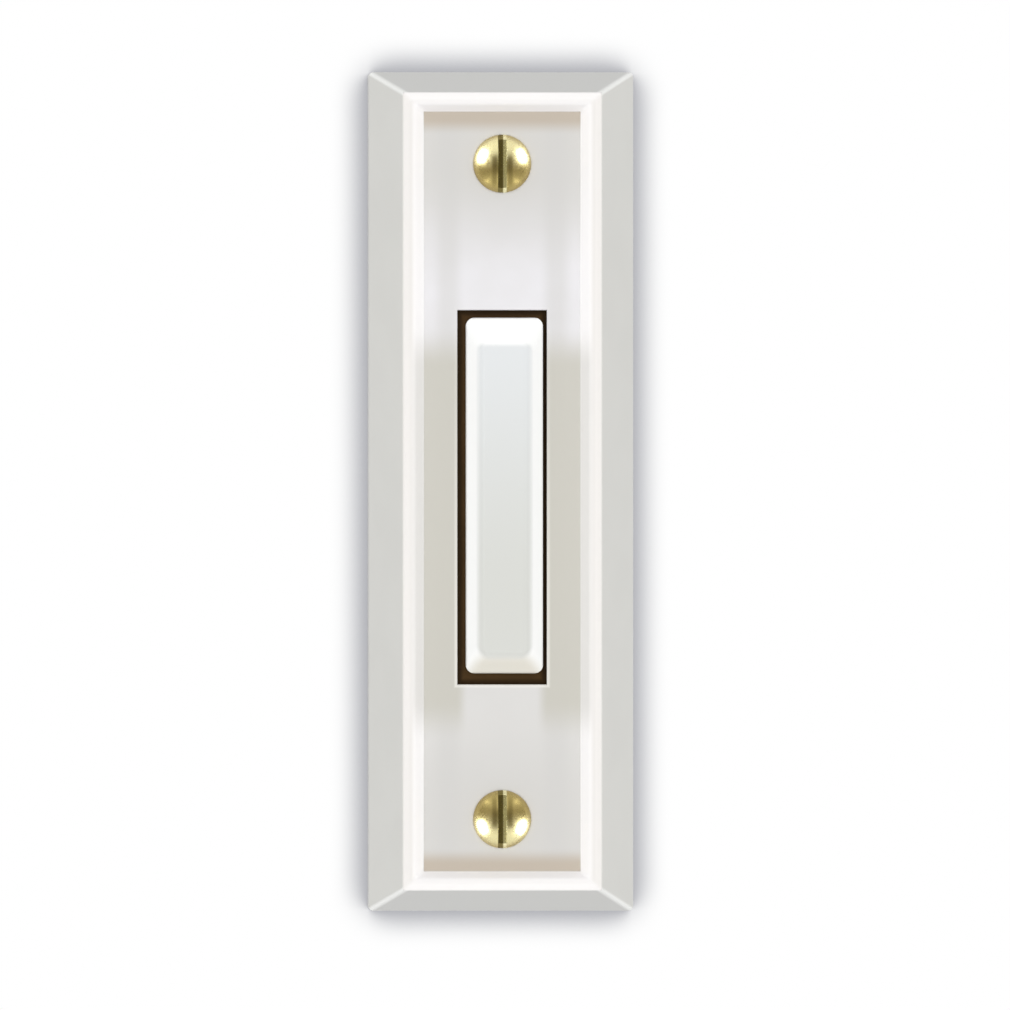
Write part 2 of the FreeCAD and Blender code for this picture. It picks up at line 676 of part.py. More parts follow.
def square_plate(side, width, length, back, front):
    """A flat rectangular piece about a terminal's screw."""
    x, hole = side * TERMINAL_X, TERMINAL_SCREW_RADIUS + HOLE_CLEARANCE
    plate = block(
        x - width / 2, x + width / 2, TERMINAL_Z - length / 2, TERMINAL_Z + length / 2, back, front
    )
    return plate.cut(rod(x, TERMINAL_Z, hole, back, front))


def terminal_nut(side):
    """A tapped rectangular nut on the front of the strip."""
    return square_plate(side, NUT_WIDTH, NUT_LENGTH, STRIP_FRONT, NUT_FRONT)


def terminal_washer(side):
    """A square clamp washer on the back of the plate."""
    return square_plate(side, WASHER_WIDTH, WASHER_WIDTH, WASHER_BACK, PLATE_BACK)


def terminal_screw(side):
    """A slotted screw driven from the back, through washer, plate and strip into the nut."""
    x = side * TERMINAL_X
    shank = rod(x, TERMINAL_Z, TERMINAL_SCREW_RADIUS, WASHER_BACK, NUT_FRONT - TERMINAL_SCREW_SHORT_OF_NUT)
    top = WASHER_BACK - TERMINAL_HEAD_HEIGHT
    head = rod(x, TERMINAL_Z, TERMINAL_HEAD_RADIUS, top, WASHER_BACK)
    slot = slot_across(x, TERMINAL_Z, TERMINAL_HEAD_RADIUS, top)
    return shank.fuse(head).cut(slot).removeSplitter()


def mounting_screw(z):
    """A domed, slotted wood screw: plain shank in the housing, threaded stretch in the wall."""
    thread_end = FLOOR - SCREW_LENGTH + SCREW_POINT_LENGTH
    tip = FLOOR - SCREW_LENGTH
    body = turned(
        (
            (0, FLOOR), (SCREW_SHANK_RADIUS, FLOOR), (SCREW_SHANK_RADIUS, 0), (SCREW_THREAD_RADIUS, 0),
            (SCREW_THREAD_RADIUS, thread_end), (0, tip),
        ),
        0, z,
    )
    edge = rod(0, z, SCREW_HEAD_RADIUS, FLOOR, FLOOR + SCREW_HEAD_EDGE)
    crown = dome(0, z, SCREW_HEAD_RADIUS, FLOOR + SCREW_HEAD_EDGE, SCREW_HEAD_HEIGHT - SCREW_HEAD_EDGE)
    slot = slot_across(0, z, SCREW_HEAD_RADIUS, FLOOR + SCREW_HEAD_HEIGHT)
    return body.fuse([edge, crown]).cut(slot).removeSplitter()


def all_nodes():
    """Each node's name and solid."""
    nodes = {
        "front_housing": front_housing(),
        "push_bar": push_bar(),
        "bar_carrier": bar_carrier(),
        "base_plate": base_plate(),
        "contact_leaf": contact_leaf(),
        "moving_contact": contact_rivet(LEAF_FRONT, LEAF_BACK, MOVING_FACE),
        "fixed_strip": fixed_strip(),
        "fixed_contact": contact_rivet(PLATE_FRONT, STRIP_FRONT, CONTACT_FACE),
        "lamp_bulb": lamp_bulb(),
        "lamp_lead_left": lamp_lead_left(),
        "lamp_lead_right": lamp_lead_right(),
    }
    for name, end in (("upper", 1), ("lower", -1)):
        nodes[f"return_spring_{name}"] = return_spring(BAR_Z + end * SPRING_OFFSET)
        nodes[f"mounting_screw_{name}"] = mounting_screw(end * SCREW_Z)
    for name, side in (("left", -1), ("right", 1)):
        nodes[f"terminal_nut_{name}"] = terminal_nut(side)
        nodes[f"terminal_washer_{name}"] = terminal_washer(side)
        nodes[f"terminal_screw_{name}"] = terminal_screw(side)
    return nodes


os.makedirs("parts", exist_ok=True)
for node, shape in all_nodes().items():
    solids = shape.Solids
    print(node, "solids", len(solids), "valid", shape.isValid(), "volume", round(shape.Volume, 3))
    shape.exportStep(f"parts/{node}.step")
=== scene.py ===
"""Doorbell push button: the looks of a moulded, surface-mounted push with a white bar.

Metres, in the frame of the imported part: +X is right and +Z is up as seen from the front, the wall is
the plane y = 0 and the front faces -Y. A depth d in front of the wall is at y = -d.
"""

from math import atan2, cos, pi, radians, sin

import bmesh
import bpy
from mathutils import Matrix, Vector


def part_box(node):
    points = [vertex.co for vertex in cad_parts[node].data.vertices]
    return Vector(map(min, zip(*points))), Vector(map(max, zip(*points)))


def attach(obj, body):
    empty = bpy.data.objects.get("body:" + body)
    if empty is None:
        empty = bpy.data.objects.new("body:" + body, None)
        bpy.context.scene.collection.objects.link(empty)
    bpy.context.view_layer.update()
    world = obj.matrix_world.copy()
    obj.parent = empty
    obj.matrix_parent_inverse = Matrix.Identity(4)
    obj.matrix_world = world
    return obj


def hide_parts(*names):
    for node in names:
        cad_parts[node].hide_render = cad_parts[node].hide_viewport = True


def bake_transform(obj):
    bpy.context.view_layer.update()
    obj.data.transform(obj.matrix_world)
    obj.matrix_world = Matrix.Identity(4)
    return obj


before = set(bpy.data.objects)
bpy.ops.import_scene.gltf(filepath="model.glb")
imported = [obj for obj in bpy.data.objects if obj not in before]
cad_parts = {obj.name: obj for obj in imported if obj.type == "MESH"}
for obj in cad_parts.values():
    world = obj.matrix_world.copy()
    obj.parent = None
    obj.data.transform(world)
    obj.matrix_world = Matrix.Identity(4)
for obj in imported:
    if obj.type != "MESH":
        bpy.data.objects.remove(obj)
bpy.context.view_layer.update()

bl_info = {
    "name": "Doorbell push button",
    "version": (1, 0, 0),
    "blender": (4, 5, 0),
    "location": "3D View > Sidebar > Push button",
    "description": "Builds the mouldings, screws, springs and finishes of a doorbell push button",
    "category": "Object",
}

MM = 0.001
NEAR = 0.02 * MM
WHITE = (1.0, 1.0, 1.0, 1.0)
ROLLED, DRAWN = (0.15, 1.0, 1.0), (1.0, 1.0, 0.2)
HOUSING_LOW, HOUSING_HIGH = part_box("front_housing")
BAR_LOW, BAR_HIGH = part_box("push_bar")
CARRIER_LOW, CARRIER_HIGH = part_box("bar_carrier")
LEAF_LOW, LEAF_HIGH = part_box("contact_leaf")
PLATE_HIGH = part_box("base_plate")[1]
WASHER_LOW, WASHER_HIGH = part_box("terminal_washer_right")
PLATE_FRONT_FACE = -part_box("fixed_strip")[1].y


# Settings

def length(name, value, note):
    """A size in millimetres as a length property."""
    return bpy.props.FloatProperty(
        name=name, description=note, default=value * MM, unit="LENGTH", precision=5
    )


def colour(name, value, note):
    """A colour property in linear light."""
    return bpy.props.FloatVectorProperty(
        name=name, description=note, default=value, subtype="COLOR", size=3, min=0.0, max=1.0
    )


def share(name, value, note):
    """A property from nought to one."""
    return bpy.props.FloatProperty(
        name=name, description=note, default=value, subtype="FACTOR", min=0.0, max=1.0
    )


def power(name, value, note):
    """A lamp's power in watts."""
    return bpy.props.FloatProperty(name=name, description=note, default=value, unit="POWER")


class HousingSettings(bpy.types.PropertyGroup):
    """The front moulding."""
    flank: length("Flank", 5.5, "Depth of the straight sides")
    bevel_side: length("Side bevel", 3.38, "How far the long bevels run in")
    bevel_end: length("End bevel", 2.15, "How far the end bevels run in")
    corner: length("Corners", 0.5, "Rounding of the flank's corners")
    mitre: length("Mitres", 0.3, "Rounding along the mitres")
    rim: length("Rim", 1.05, "Width of the flat rim")
    rim_edge: length("Rim edge", 0.16, "Rounding where the bevel meets the rim")
    lip: length("Lip", 0.5, "Rounding where the rim turns down")
    foot: length("Foot", 0.14, "Rounding where the recess meets the panel")
    recess: length("Recess", 1.3, "How far the panel lies behind the rim")
    slope_side: length("Side slope", 1.1, "How far the recess's sides slope in")
    slope_end: length("End slope", 0.9, "How far the recess's ends slope in")
    wall: length("Wall", 1.3, "Thickness of the moulding")
    panel_thickness: length("Panel thickness", 1.5, "Thickness of the panel")
    window_width: length("Window width", 9.1, "Width of the bar's window")
    window_length: length("Window length", 38.1, "Length of the bar's window")
    window_drop: length("Window drop", 0.6, "How far the window lies below the middle")
    window_edge: length("Window edge", 0.12, "Rounding round the window")
    rib: length("Ribs", 1.0, "Thickness of the webs and the guide frame")
    ledge: length("Ledges", 1.2, "Thickness of the plate's ledges")
    boss: length("Bosses", 3.5, "Radius of the screw bosses")
    hole: length("Holes", 1.75, "Radius of the screw holes")
    hook_height: length("Hook height", 24.8, "How far the hooks lie from the middle")
    hook_length: length("Hook length", 5.0, "Length of a hook along the wall")
    bevelled: colour("Bevel", (0.745, 0.741, 0.704), "Flank and long bevels")
    # Painted shade: the end bevels are the same plastic, painted darker
    shaded_end_bevel: colour("End bevels", (0.671, 0.671, 0.648), "Bevels at the ends")
    # Painted highlight along the mitres
    mitre_highlight: colour("Mitres", (0.97, 0.975, 0.95), "Light line along a mitre")
    # Painted light: the rim is painted darker along the sides and lighter at the ends
    rimmed: colour("Rim", (0.768, 0.745, 0.722), "Rim along the sides")
    rim_end_light: colour("Rim ends", (0.833, 0.815, 0.806), "Rim at the ends")
    # Painted light: the long slopes are painted nearly white and the end slopes darker
    sloped: colour("Slopes", (0.99, 0.975, 0.97), "Recess's long slopes")
    slope_end_shade: colour("End slopes", (0.872, 0.856, 0.858), "Recess's slopes at the ends")
    # Painted shade: the panel is painted lighter above the bar and darker below it
    panel: colour("Panel", (0.727, 0.718, 0.74), "Panel above the bar")
    shaded_lower_panel: colour("Lower panel", (0.635, 0.626, 0.611), "Panel below the bar")
    # Painted shade round the screws at the panel's ends
    shaded_panel_ends: colour("Panel ends", (0.58, 0.57, 0.55), "Panel round the screws")
    # Painted shade beside the window: the panel and the long slopes are painted darker and warmer there
    shade_beside_window: colour("Beside the window", (0.514, 0.50, 0.449), "Where the dark mechanism shows through")
    # Painted shade: a warm dark strip at the foot of each end slope
    end_strip_shade: colour("Edging", (0.465, 0.407, 0.34), "Warm strip along each end of the panel")
    # Painted highlight round the window's edge
    window_edge_highlight: colour("Lit edge", (0.80, 0.78, 0.73), "Edge of the window")


class BarSettings(bpy.types.PropertyGroup):
    """The push bar."""
    plug: length("Plugs", 1.4, "How far the carrier's plugs reach into the bar")
    slope_height: length("Crown", 1.15, "Height of the slopes")
    inset_side: length("Side inset", 1.45, "How far the long slopes run in")
    inset_top: length("Top inset", 2.4, "How far the upper slope runs in")
    inset_bottom: length("Bottom inset", 1.9, "How far the lower slope runs in")
    corner: length("Corners", 0.9, "Radius of the four corners")
    mitre: length("Mitres", 1.0, "Rounding along the mitres")
    edge: length("Edges", 0.45, "Rounding round the face")
    shoulder: length("Shoulder", 0.25, "Rounding where the slopes meet the sides")
    wall: length("Wall", 1.0, "Thickness of the upright walls")
    crown_wall: length("Crown wall", 1.2, "Thickness of the front wall")
    pin: length("Pin", 1.0, "Radius of the pin that presses the leaf")
    # Painted highlight: the sloped sides are painted brighter than the face
    slopes: colour("Slopes", (0.90, 0.905, 0.895), "Bright sloped sides")
    # Painted shade on the slope at the bar's foot
    foot: colour("Foot", (0.68, 0.655, 0.585), "Duller slope at the foot")
    # The face's cooler, greyer tint is partly its own and partly a painted reflection of the dark front
    face: colour("Upper face", (0.685, 0.705, 0.718), "Flat face at its upper end")
    # Painted shade: the face is painted darker towards its lower end
    shaded_lower_face: colour("Lower face", (0.597, 0.603, 0.573), "Flat face at its lower end")


class ScrewSettings(bpy.types.PropertyGroup):
    """The mounting and terminal screws."""
    spacing: length("Spacing", 66.7, "Distance between the mounting screws")
    head_radius: length("Head radius", 2.95, "Radius of a mounting screw's head")
    head_height: length("Head height", 1.9, "Height of a mounting screw's head")
    head_edge: length("Head edge", 0.35, "Height of the head's upright edge")
    shank_radius: length("Shank", 1.2, "Radius of the plain shank")
    root_radius: length("Root", 1.0, "Radius at the thread's root")
    ridge: length("Ridge", 0.5, "How far the thread stands out")
    pitch: length("Pitch", 1.35, "Rise of the thread in one turn")
    full_length: length("Length", 25.4, "Length under the head")
    point: length("Point", 3.5, "Length of the tapered point")
    slot_width: length("Slot width", 0.85, "Width of the saw cut")
    slot_depth: length("Slot depth", 1.0, "Depth of the saw cut")
    slot_edge: length("Slot edge", 0.07, "Rounding along the saw cut")
    terminal_radius: length("Terminal head", 2.3, "Radius of a terminal screw's head")
    terminal_height: length("Terminal head height", 1.5, "Height of a terminal screw's head")
    terminal_shank: length("Terminal shank", 1.3, "Radius of a terminal screw's shank")
    terminal_z: length("Terminals", -8.0, "Height of the terminals above the middle")
    brass: colour("Bright brass", (0.84, 0.76, 0.42), "Bright plating of the heads")
    # Painted reflection and shade: the half of a head that faces the bar is painted darker
    inward_shade_brass: colour("Golden brass", (0.45, 0.345, 0.115), "Side of a head that faces the bar")
    # Painted shade low on a head, near its seat
    foot_shade_brass: colour("Dull brass", (0.50, 0.39, 0.19), "Foot of a head")
    # Painted shade in the slot and a painted highlight on its right side
    slot_shade: colour("Dark slot", (0.25, 0.205, 0.075), "Dark side of the saw cut")
    slot_highlight: colour("Bright slot", (1.0, 0.94, 0.58), "Gleaming side of the saw cut")
    plain_brass: colour("Plain brass", (0.62, 0.47, 0.20), "Terminal screws")


class InsideSettings(bpy.types.PropertyGroup):
    """The springs and the contact leaf."""
    wire: length("Wire", 0.35, "Diameter of the spring wire")
    coil_radius: length("Coil radius", 1.6, "Mean radius of the coils")
    turns: bpy.props.IntProperty(
        name="Open turns", description="Turns between the closed ends", default=3, min=1
    )
    strip: length("Strip", 0.25, "Thickness of the bronze strip")
    strip_width: length("Strip width", 3.4, "Width of the strip at the terminal")
    leaf_width: length("Leaf width", 4.0, "Width of the springy leaf")
    foot_length: length("Foot", 3.4, "Stretch of the leaf that lies on the plate")
    ramp_length: length("Ramp", 3.6, "How far up the leaf's ramp runs")
    tab_width: length("Tab width", 2.3, "Width of the solder tab")
    tab_length: length("Tab length", 3.8, "How far the tab reaches above the terminal")
    contact_z: length("Contacts", -3.0, "Height of the contacts above the middle")
    bronze: colour("Bronze", (0.56, 0.31, 0.13), "Cold-rolled bronze strip")
    brown: colour("Carrier", (0.070, 0.038, 0.013), "Dark moulding behind the bar")


class StageSettings(bpy.types.PropertyGroup):
    """The studio round the push button."""
    distance: bpy.props.FloatProperty(
        name="Camera distance", description="From the wall to the camera", default=3.0, unit="LENGTH"
    )
    lens: bpy.props.FloatProperty(name="Lens", description="Focal length in millimetres", default=1047.0)
    turn: bpy.props.FloatProperty(
        name="Turn", description="How far to the left the camera is", default=radians(1.4), subtype="ANGLE"
    )
    aim_x: length("Aim across", 0.55, "Middle of the picture, across")
    aim_z: length("Aim up", -1.38, "Middle of the picture, up")
    ambient: share("Ambient light", 0.51, "Light that comes from all round")
    room: share("Reflected room", 1.0, "Brightness of the room in reflections")
    key: power("Front light", 14.0, "Power of the front softbox")
    card: power("Reflector cards", 0.0088, "Power of each card that the screws reflect")
    halo: length("Contact shadow", 4.4, "How far the shadow reaches on the wall")


# Modelling

def deselect():
    """Leaves edit mode and selects nothing."""
    if bpy.context.mode != "OBJECT":
        bpy.ops.object.mode_set(mode="OBJECT")
    bpy.ops.object.select_all(action="DESELECT")


def take(obj):
    """Makes one object the only one selected."""
    deselect()
    obj.select_set(True)
    bpy.context.view_layer.objects.active = obj


def settle(name):
    """Names the new primitive and puts its place and size into its mesh."""
    obj = bpy.context.object
    obj.name = obj.data.name = name
    bpy.ops.object.transform_apply(location=True, rotation=True, scale=True)
    return obj


def block(name, left, right, bottom, top, back, front):
    """A box between two depths, in metres."""
    deselect()
    bpy.ops.mesh.primitive_cube_add(
        size=1,
        location=((left + right) / 2, -(back + front) / 2, (bottom + top) / 2),
        scale=(right - left, front - back, top - bottom),
    )
    return settle(name)


def rod(name, x, z, radius, back, front, sides=64):
    """A cylinder whose axis runs from back to front."""
    deselect()
    bpy.ops.mesh.primitive_cylinder_add(
        vertices=sides, radius=radius, depth=front - back, location=(x, -(back + front) / 2, z),
        rotation=(pi / 2, 0, 0),
    )
    return settle(name)


def edit(obj):
    """Goes into edit mode on one object."""
    take(obj)
    bpy.ops.object.mode_set(mode="EDIT")


def pick(obj, kind, test):
    """In edit mode, selects the faces or edges that pass a test."""
    bpy.ops.mesh.select_mode(type=kind)
    bpy.ops.mesh.select_all(action="DESELECT")
    mesh = bmesh.from_edit_mesh(obj.data)
    chosen = [item for item in (mesh.faces if kind == "FACE" else mesh.edges) if test(item)]
    for item in chosen:
        item.select_set(True)
    bmesh.update_edit_mesh(obj.data)
    if not chosen:
        raise RuntimeError(f"nothing to pick on {obj.name}")


def faces_towards(obj, x, y, z):
    """Picks the faces that look one way."""
    way = Vector((x, y, z))
    pick(obj, "FACE", lambda face: face.normal.dot(way) > 0.99)


def pull(x, y, z):
    """Extrudes what is selected."""
    bpy.ops.mesh.extrude_region_move(TRANSFORM_OT_translate={"value": (x, y, z)})


def spread(x, z, centre):
    """Resizes what is selected across the front, about a centre."""
    bpy.ops.transform.resize(value=(x, 1, z), center_override=centre)


def turn(angle, axis, centre):
    """Turns what is selected the right-handed way. With no window the operator turns the other way."""
    bpy.ops.transform.rotate(value=-angle, orient_axis=axis, center_override=centre)


def wind(centre, turns, rise, growth=1.0, steps=24):
    """Extrudes the selected profile round an axis that runs to the wall, growing by a factor in all."""
    count = round(turns * steps)
    for _ in range(count):
        pull(0, rise / steps, 0)
        turn(2 * pi / steps, "Y", centre)
        if growth != 1.0:
            each = growth ** (1 / count)
            spread(each, each, centre)


def disc(name, x, depth, z, radius, sides):
    """A filled outline that faces up, to be wound into a wire or a thread."""
    deselect()
    bpy.ops.mesh.primitive_circle_add(
        vertices=sides, radius=radius, fill_type="NGON", location=(x, -depth, z)
    )
    return settle(name)


def soften(obj, widths, test):
    """Gives edges their share of a bevel: test(first, last) names the width of an edge or None."""
    most = max(widths.values())
    edit(obj)
    bpy.ops.mesh.select_mode(type="EDGE")
    for name, width in widths.items():
        pick(obj, "EDGE", lambda edge: test(*(corner.co for corner in edge.verts)) == name)
        bpy.ops.transform.edge_bevelweight(value=width / most)
    deselect()
    return most


def modify(obj, kind, **settings):
    """Adds a modifier and applies it."""
    take(obj)
    modifier = obj.modifiers.new(kind.title(), kind)
    for key, value in settings.items():
        setattr(modifier, key, value)
    bpy.ops.object.modifier_apply(modifier=modifier.name)
    return obj


def combine(obj, operation, *others):
    """Cuts, joins or trims with other pieces and takes those away."""
    for other in others:
        modify(obj, "BOOLEAN", operation=operation, object=other, solver="EXACT")
        bpy.data.objects.remove(other)
    return obj


def twin(obj, name, x, z):
    """A copy with its own mesh, moved across and up."""
    take(obj)
    bpy.ops.object.duplicate()
    bpy.ops.transform.translate(value=(x, 0, z))
    return settle(name)


def outline(low, high, grow=0.0):
    """The left, right, bottom and top of a box, grown all round."""
    return low.x - grow, high.x + grow, low.z - grow, high.z + grow


def middle(low, high):
    """The middle of a box, across and up."""
    return (low.x + high.x) / 2, (low.z + high.z) / 2


def pick_edges(obj, test):
    """In edit mode, selects the edges whose corners both pass a test."""
    pick(obj, "EDGE", lambda edge: all(test(corner.co) for corner in edge.verts))


def taper(radius, depth, centre, stages):
    """Draws the picked end on from one radius and depth, through stages of radius and depth."""
    for next_radius, next_depth in stages:
        pull(0, depth - next_depth, 0)
        spread(next_radius / radius, next_radius / radius, centre)
        radius, depth = next_radius, next_depth


def face_out():
    """Turns every face outwards and leaves edit mode."""
    bpy.ops.mesh.select_all(action="SELECT")
    bpy.ops.mesh.normals_make_consistent(inside=False)
    deselect()


def shade(obj, angle=32):
    """Smooth shading that keeps flat faces flat."""
    take(obj)
    bpy.ops.object.shade_smooth_by_angle(angle=radians(angle))
    modify(obj, "WEIGHTED_NORMAL", keep_sharp=True, weight=80)


def dress(obj, finish):
    """Gives a piece one material."""
    obj.data.materials.clear()
    obj.data.materials.append(finish)


def stand_for(obj, finish, node):
    """Gives a piece its finish and hides the node that it stands for."""
    dress(obj, finish)
    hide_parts(node)


def place(obj, finish, node, body="housing"):
    """Finishes a rigid piece."""
    stand_for(obj, finish, node)
    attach(obj, body)


def bridge(obj, finish, slot, node, start, end):
    """Finishes a piece and bakes its place into its mesh. Its start and end are not used."""
    stand_for(obj, finish, node)
    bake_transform(obj)


# Finishes

def node_of(tree, kind, **values):
    """Adds a node, with sockets set by name."""
    node = tree.nodes.new(kind)
    for name, value in values.items():
        node.inputs[name.replace("_", " ")].default_value = value
    return node


def maths(tree, operation, *values, clamp=False):
    """A Math node, with each value a number or an output."""
    node = tree.nodes.new("ShaderNodeMath")
    node.operation = operation
    node.use_clamp = clamp
    for index, value in enumerate(values):
        if isinstance(value, (int, float)):
            node.inputs[index].default_value = value
        else:
            tree.links.new(value, node.inputs[index])
    return node.outputs[0]


def product(tree, first, *others):
    """Masks and numbers multiplied together."""
    for other in others:
        first = maths(tree, "MULTIPLY", first, other)
    return first


def step(tree, value, start, end):
    """A soft step from nought at start to one at end."""
    node = tree.nodes.new("ShaderNodeMapRange")
    node.interpolation_type = "SMOOTHSTEP"
    tree.links.new(value, node.inputs["Value"])
    node.inputs["From Min"].default_value = start
    node.inputs["From Max"].default_value = end
    return node.outputs["Result"]


def axes(tree, coordinates):
    """A point's place across, in depth and up, as three outputs."""
    split = tree.nodes.new("ShaderNodeSeparateXYZ")
    tree.links.new(coordinates, split.inputs[0])
    return split.outputs["X"], split.outputs["Y"], split.outputs["Z"]


def blend_colours(tree, factor, first, second):
    """Mixes two colours, each a value or an output."""
    node = tree.nodes.new("ShaderNodeMix")
    node.data_type = "RGBA"
    tree.links.new(factor, node.inputs["Factor"])
    for socket, value in ((node.inputs[6], first), (node.inputs[7], second)):
        if isinstance(value, bpy.types.NodeSocket):
            tree.links.new(value, socket)
        else:
            socket.default_value = (*value, 1.0)
    return node.outputs[2]


def layered(tree, colours, *layers):
    """Lays tints over a colour, each with its mask and its strength."""
    for mask, strength, tint in layers:
        factor = mask if strength == 1 else product(tree, mask, strength)
        colours = blend_colours(tree, factor, colours, tint)
    return colours


def noise(tree, vector, **values):
    """A noise over a point's place."""
    node = node_of(tree, "ShaderNodeTexNoise", **values)
    tree.links.new(vector, node.inputs["Vector"])
    return node


def effect(name, label, kind, value):
    """A new effect group: a point, one size or stretch, a roughness and its spread go in."""
    tree = bpy.data.node_groups.new(name, "ShaderNodeTree")
    inputs = (
        ("Vector", "NodeSocketVector", (0.0, 0.0, 0.0)), (label, kind, value),
        ("Roughness", "NodeSocketFloat", 0.3), ("Spread", "NodeSocketFloat", 0.1),
    )
    for name_in, kind_in, default in inputs:
        tree.interface.new_socket(name_in, in_out="INPUT", socket_type=kind_in).default_value = default
    for name_out in ("Height", "Roughness", "Tone"):
        tree.interface.new_socket(name_out, in_out="OUTPUT", socket_type="NodeSocketFloat")
    return tree, tree.nodes.new("NodeGroupInput"), tree.nodes.new("NodeGroupOutput")


def finish_effect(tree, start, end, height, swing, tone):
    """Puts out an effect's height, its roughness as it swings, and its tone."""
    rough = maths(tree, "MULTIPLY_ADD", swing, start.outputs["Spread"], start.outputs["Roughness"], clamp=True)
    for label, value in (("Height", height), ("Roughness", rough), ("Tone", tone)):
        tree.links.new(value, end.inputs[label])
    return tree


def moulded_grain():
    """Effect group: the faint texture of a moulding."""
    name = "moulded grain"
    if name in bpy.data.node_groups:
        return bpy.data.node_groups[name]
    tree, start, end = effect(name, "Size", "NodeSocketFloat", 4000.0)
    fine = noise(tree, start.outputs["Vector"], Detail=3.0, Roughness=0.6)
    tree.links.new(start.outputs["Size"], fine.inputs["Scale"])
    height = fine.outputs["Fac"]
    broad = noise(tree, start.outputs["Vector"], Detail=2.0, Scale=160.0).outputs["Fac"]
    swing = maths(tree, "SUBTRACT", maths(tree, "MULTIPLY_ADD", broad, 0.5, height), 0.75)
    return finish_effect(tree, start, end, height, swing, broad)


def drawn_metal():
    """Effect group: lines and faint blotches of drawn, turned or rolled metal."""
    name = "drawn metal"
    if name in bpy.data.node_groups:
        return bpy.data.node_groups[name]
    tree, start, end = effect(name, "Stretch", "NodeSocketVector", (1.0, 1.0, 1.0))
    scaled = tree.nodes.new("ShaderNodeVectorMath")
    scaled.operation = "MULTIPLY"
    tree.links.new(start.outputs["Vector"], scaled.inputs[0])
    tree.links.new(start.outputs["Stretch"], scaled.inputs[1])
    lines = noise(tree, scaled.outputs["Vector"], Scale=2500.0, Detail=4.0).outputs["Fac"]
    blotches = noise(tree, start.outputs["Vector"], Scale=500.0, Detail=2.0).outputs["Fac"]
    return finish_effect(tree, start, end, lines, maths(tree, "SUBTRACT", lines, 0.5), blotches)


def material(name, shader_values):
    """A material with one Principled shader, and the Object coordinates to feed it."""
    made = bpy.data.materials.new(name)
    made.use_nodes = True
    tree = made.node_tree
    shader = tree.nodes["Principled BSDF"]
    for label, value in shader_values.items():
        shader.inputs[label].default_value = value
    coordinates = tree.nodes.new("ShaderNodeTexCoord").outputs["Object"]
    return made, tree, shader, coordinates


def surface(tree, shader, coordinates, look, bump, **values):
    """Feeds a shader's roughness and bump from an effect group, and gives the group's tone."""
    node = tree.nodes.new("ShaderNodeGroup")
    node.node_tree = look
    tree.links.new(coordinates, node.inputs["Vector"])
    for label, value in values.items():
        node.inputs[label].default_value = value
    tree.links.new(node.outputs["Roughness"], shader.inputs["Roughness"])
    relief = node_of(tree, "ShaderNodeBump", Strength=bump, Distance=0.02 * MM)
    tree.links.new(node.outputs["Height"], relief.inputs["Height"])
    tree.links.new(relief.outputs["Normal"], shader.inputs["Normal"])
    return node.outputs["Tone"]


def shaded(value, factor):
    """A colour made darker or lighter."""
    return tuple(min(1.0, part * factor) for part in value)


def mottled(tree, tone, tint, low, high):
    """A colour that swings between two shares of itself with an effect's tone."""
    return blend_colours(tree, step(tree, tone, 0.3, 0.7), shaded(tint, low), shaded(tint, high))


def paint(tree, shader, colours):
    """Gives a shader its base colour."""
    tree.links.new(colours, shader.inputs["Base Color"])


def plastic(name, tint, rough, size, bump, **values):
    """A moulded plastic with a faint grain."""
    made, tree, shader, coordinates = material(name, {"IOR": 1.5, **values})
    tone = surface(tree, shader, coordinates, moulded_grain(), bump, Size=size, Roughness=rough, Spread=0.12)
    paint(tree, shader, mottled(tree, tone, tint, 0.97, 1.02))
    return made


def metal(name, tint, rough, stretch=(1.0, 1.0, 1.0), bump=0.15):
    """A bare or plated metal with drawn or turned lines."""
    made, tree, shader, coordinates = material(name, {"Metallic": 1.0})
    tone = surface(tree, shader, coordinates, drawn_metal(), bump, Stretch=stretch, Roughness=rough, Spread=0.16)
    paint(tree, shader, mottled(tree, tone, tint, 0.9, 1.06))
    return made


def outside_window(tree, across, up):
    """How far a point lies outside the window for the bar, seen from the front."""
    sizes = bpy.context.scene.push_housing
    past_x = maths(tree, "SUBTRACT", maths(tree, "ABSOLUTE", across), sizes.window_width / 2)
    from_middle = maths(tree, "ABSOLUTE", maths(tree, "ADD", up, sizes.window_drop))
    return maths(tree, "MAXIMUM", past_x, maths(tree, "SUBTRACT", from_middle, sizes.window_length / 2))


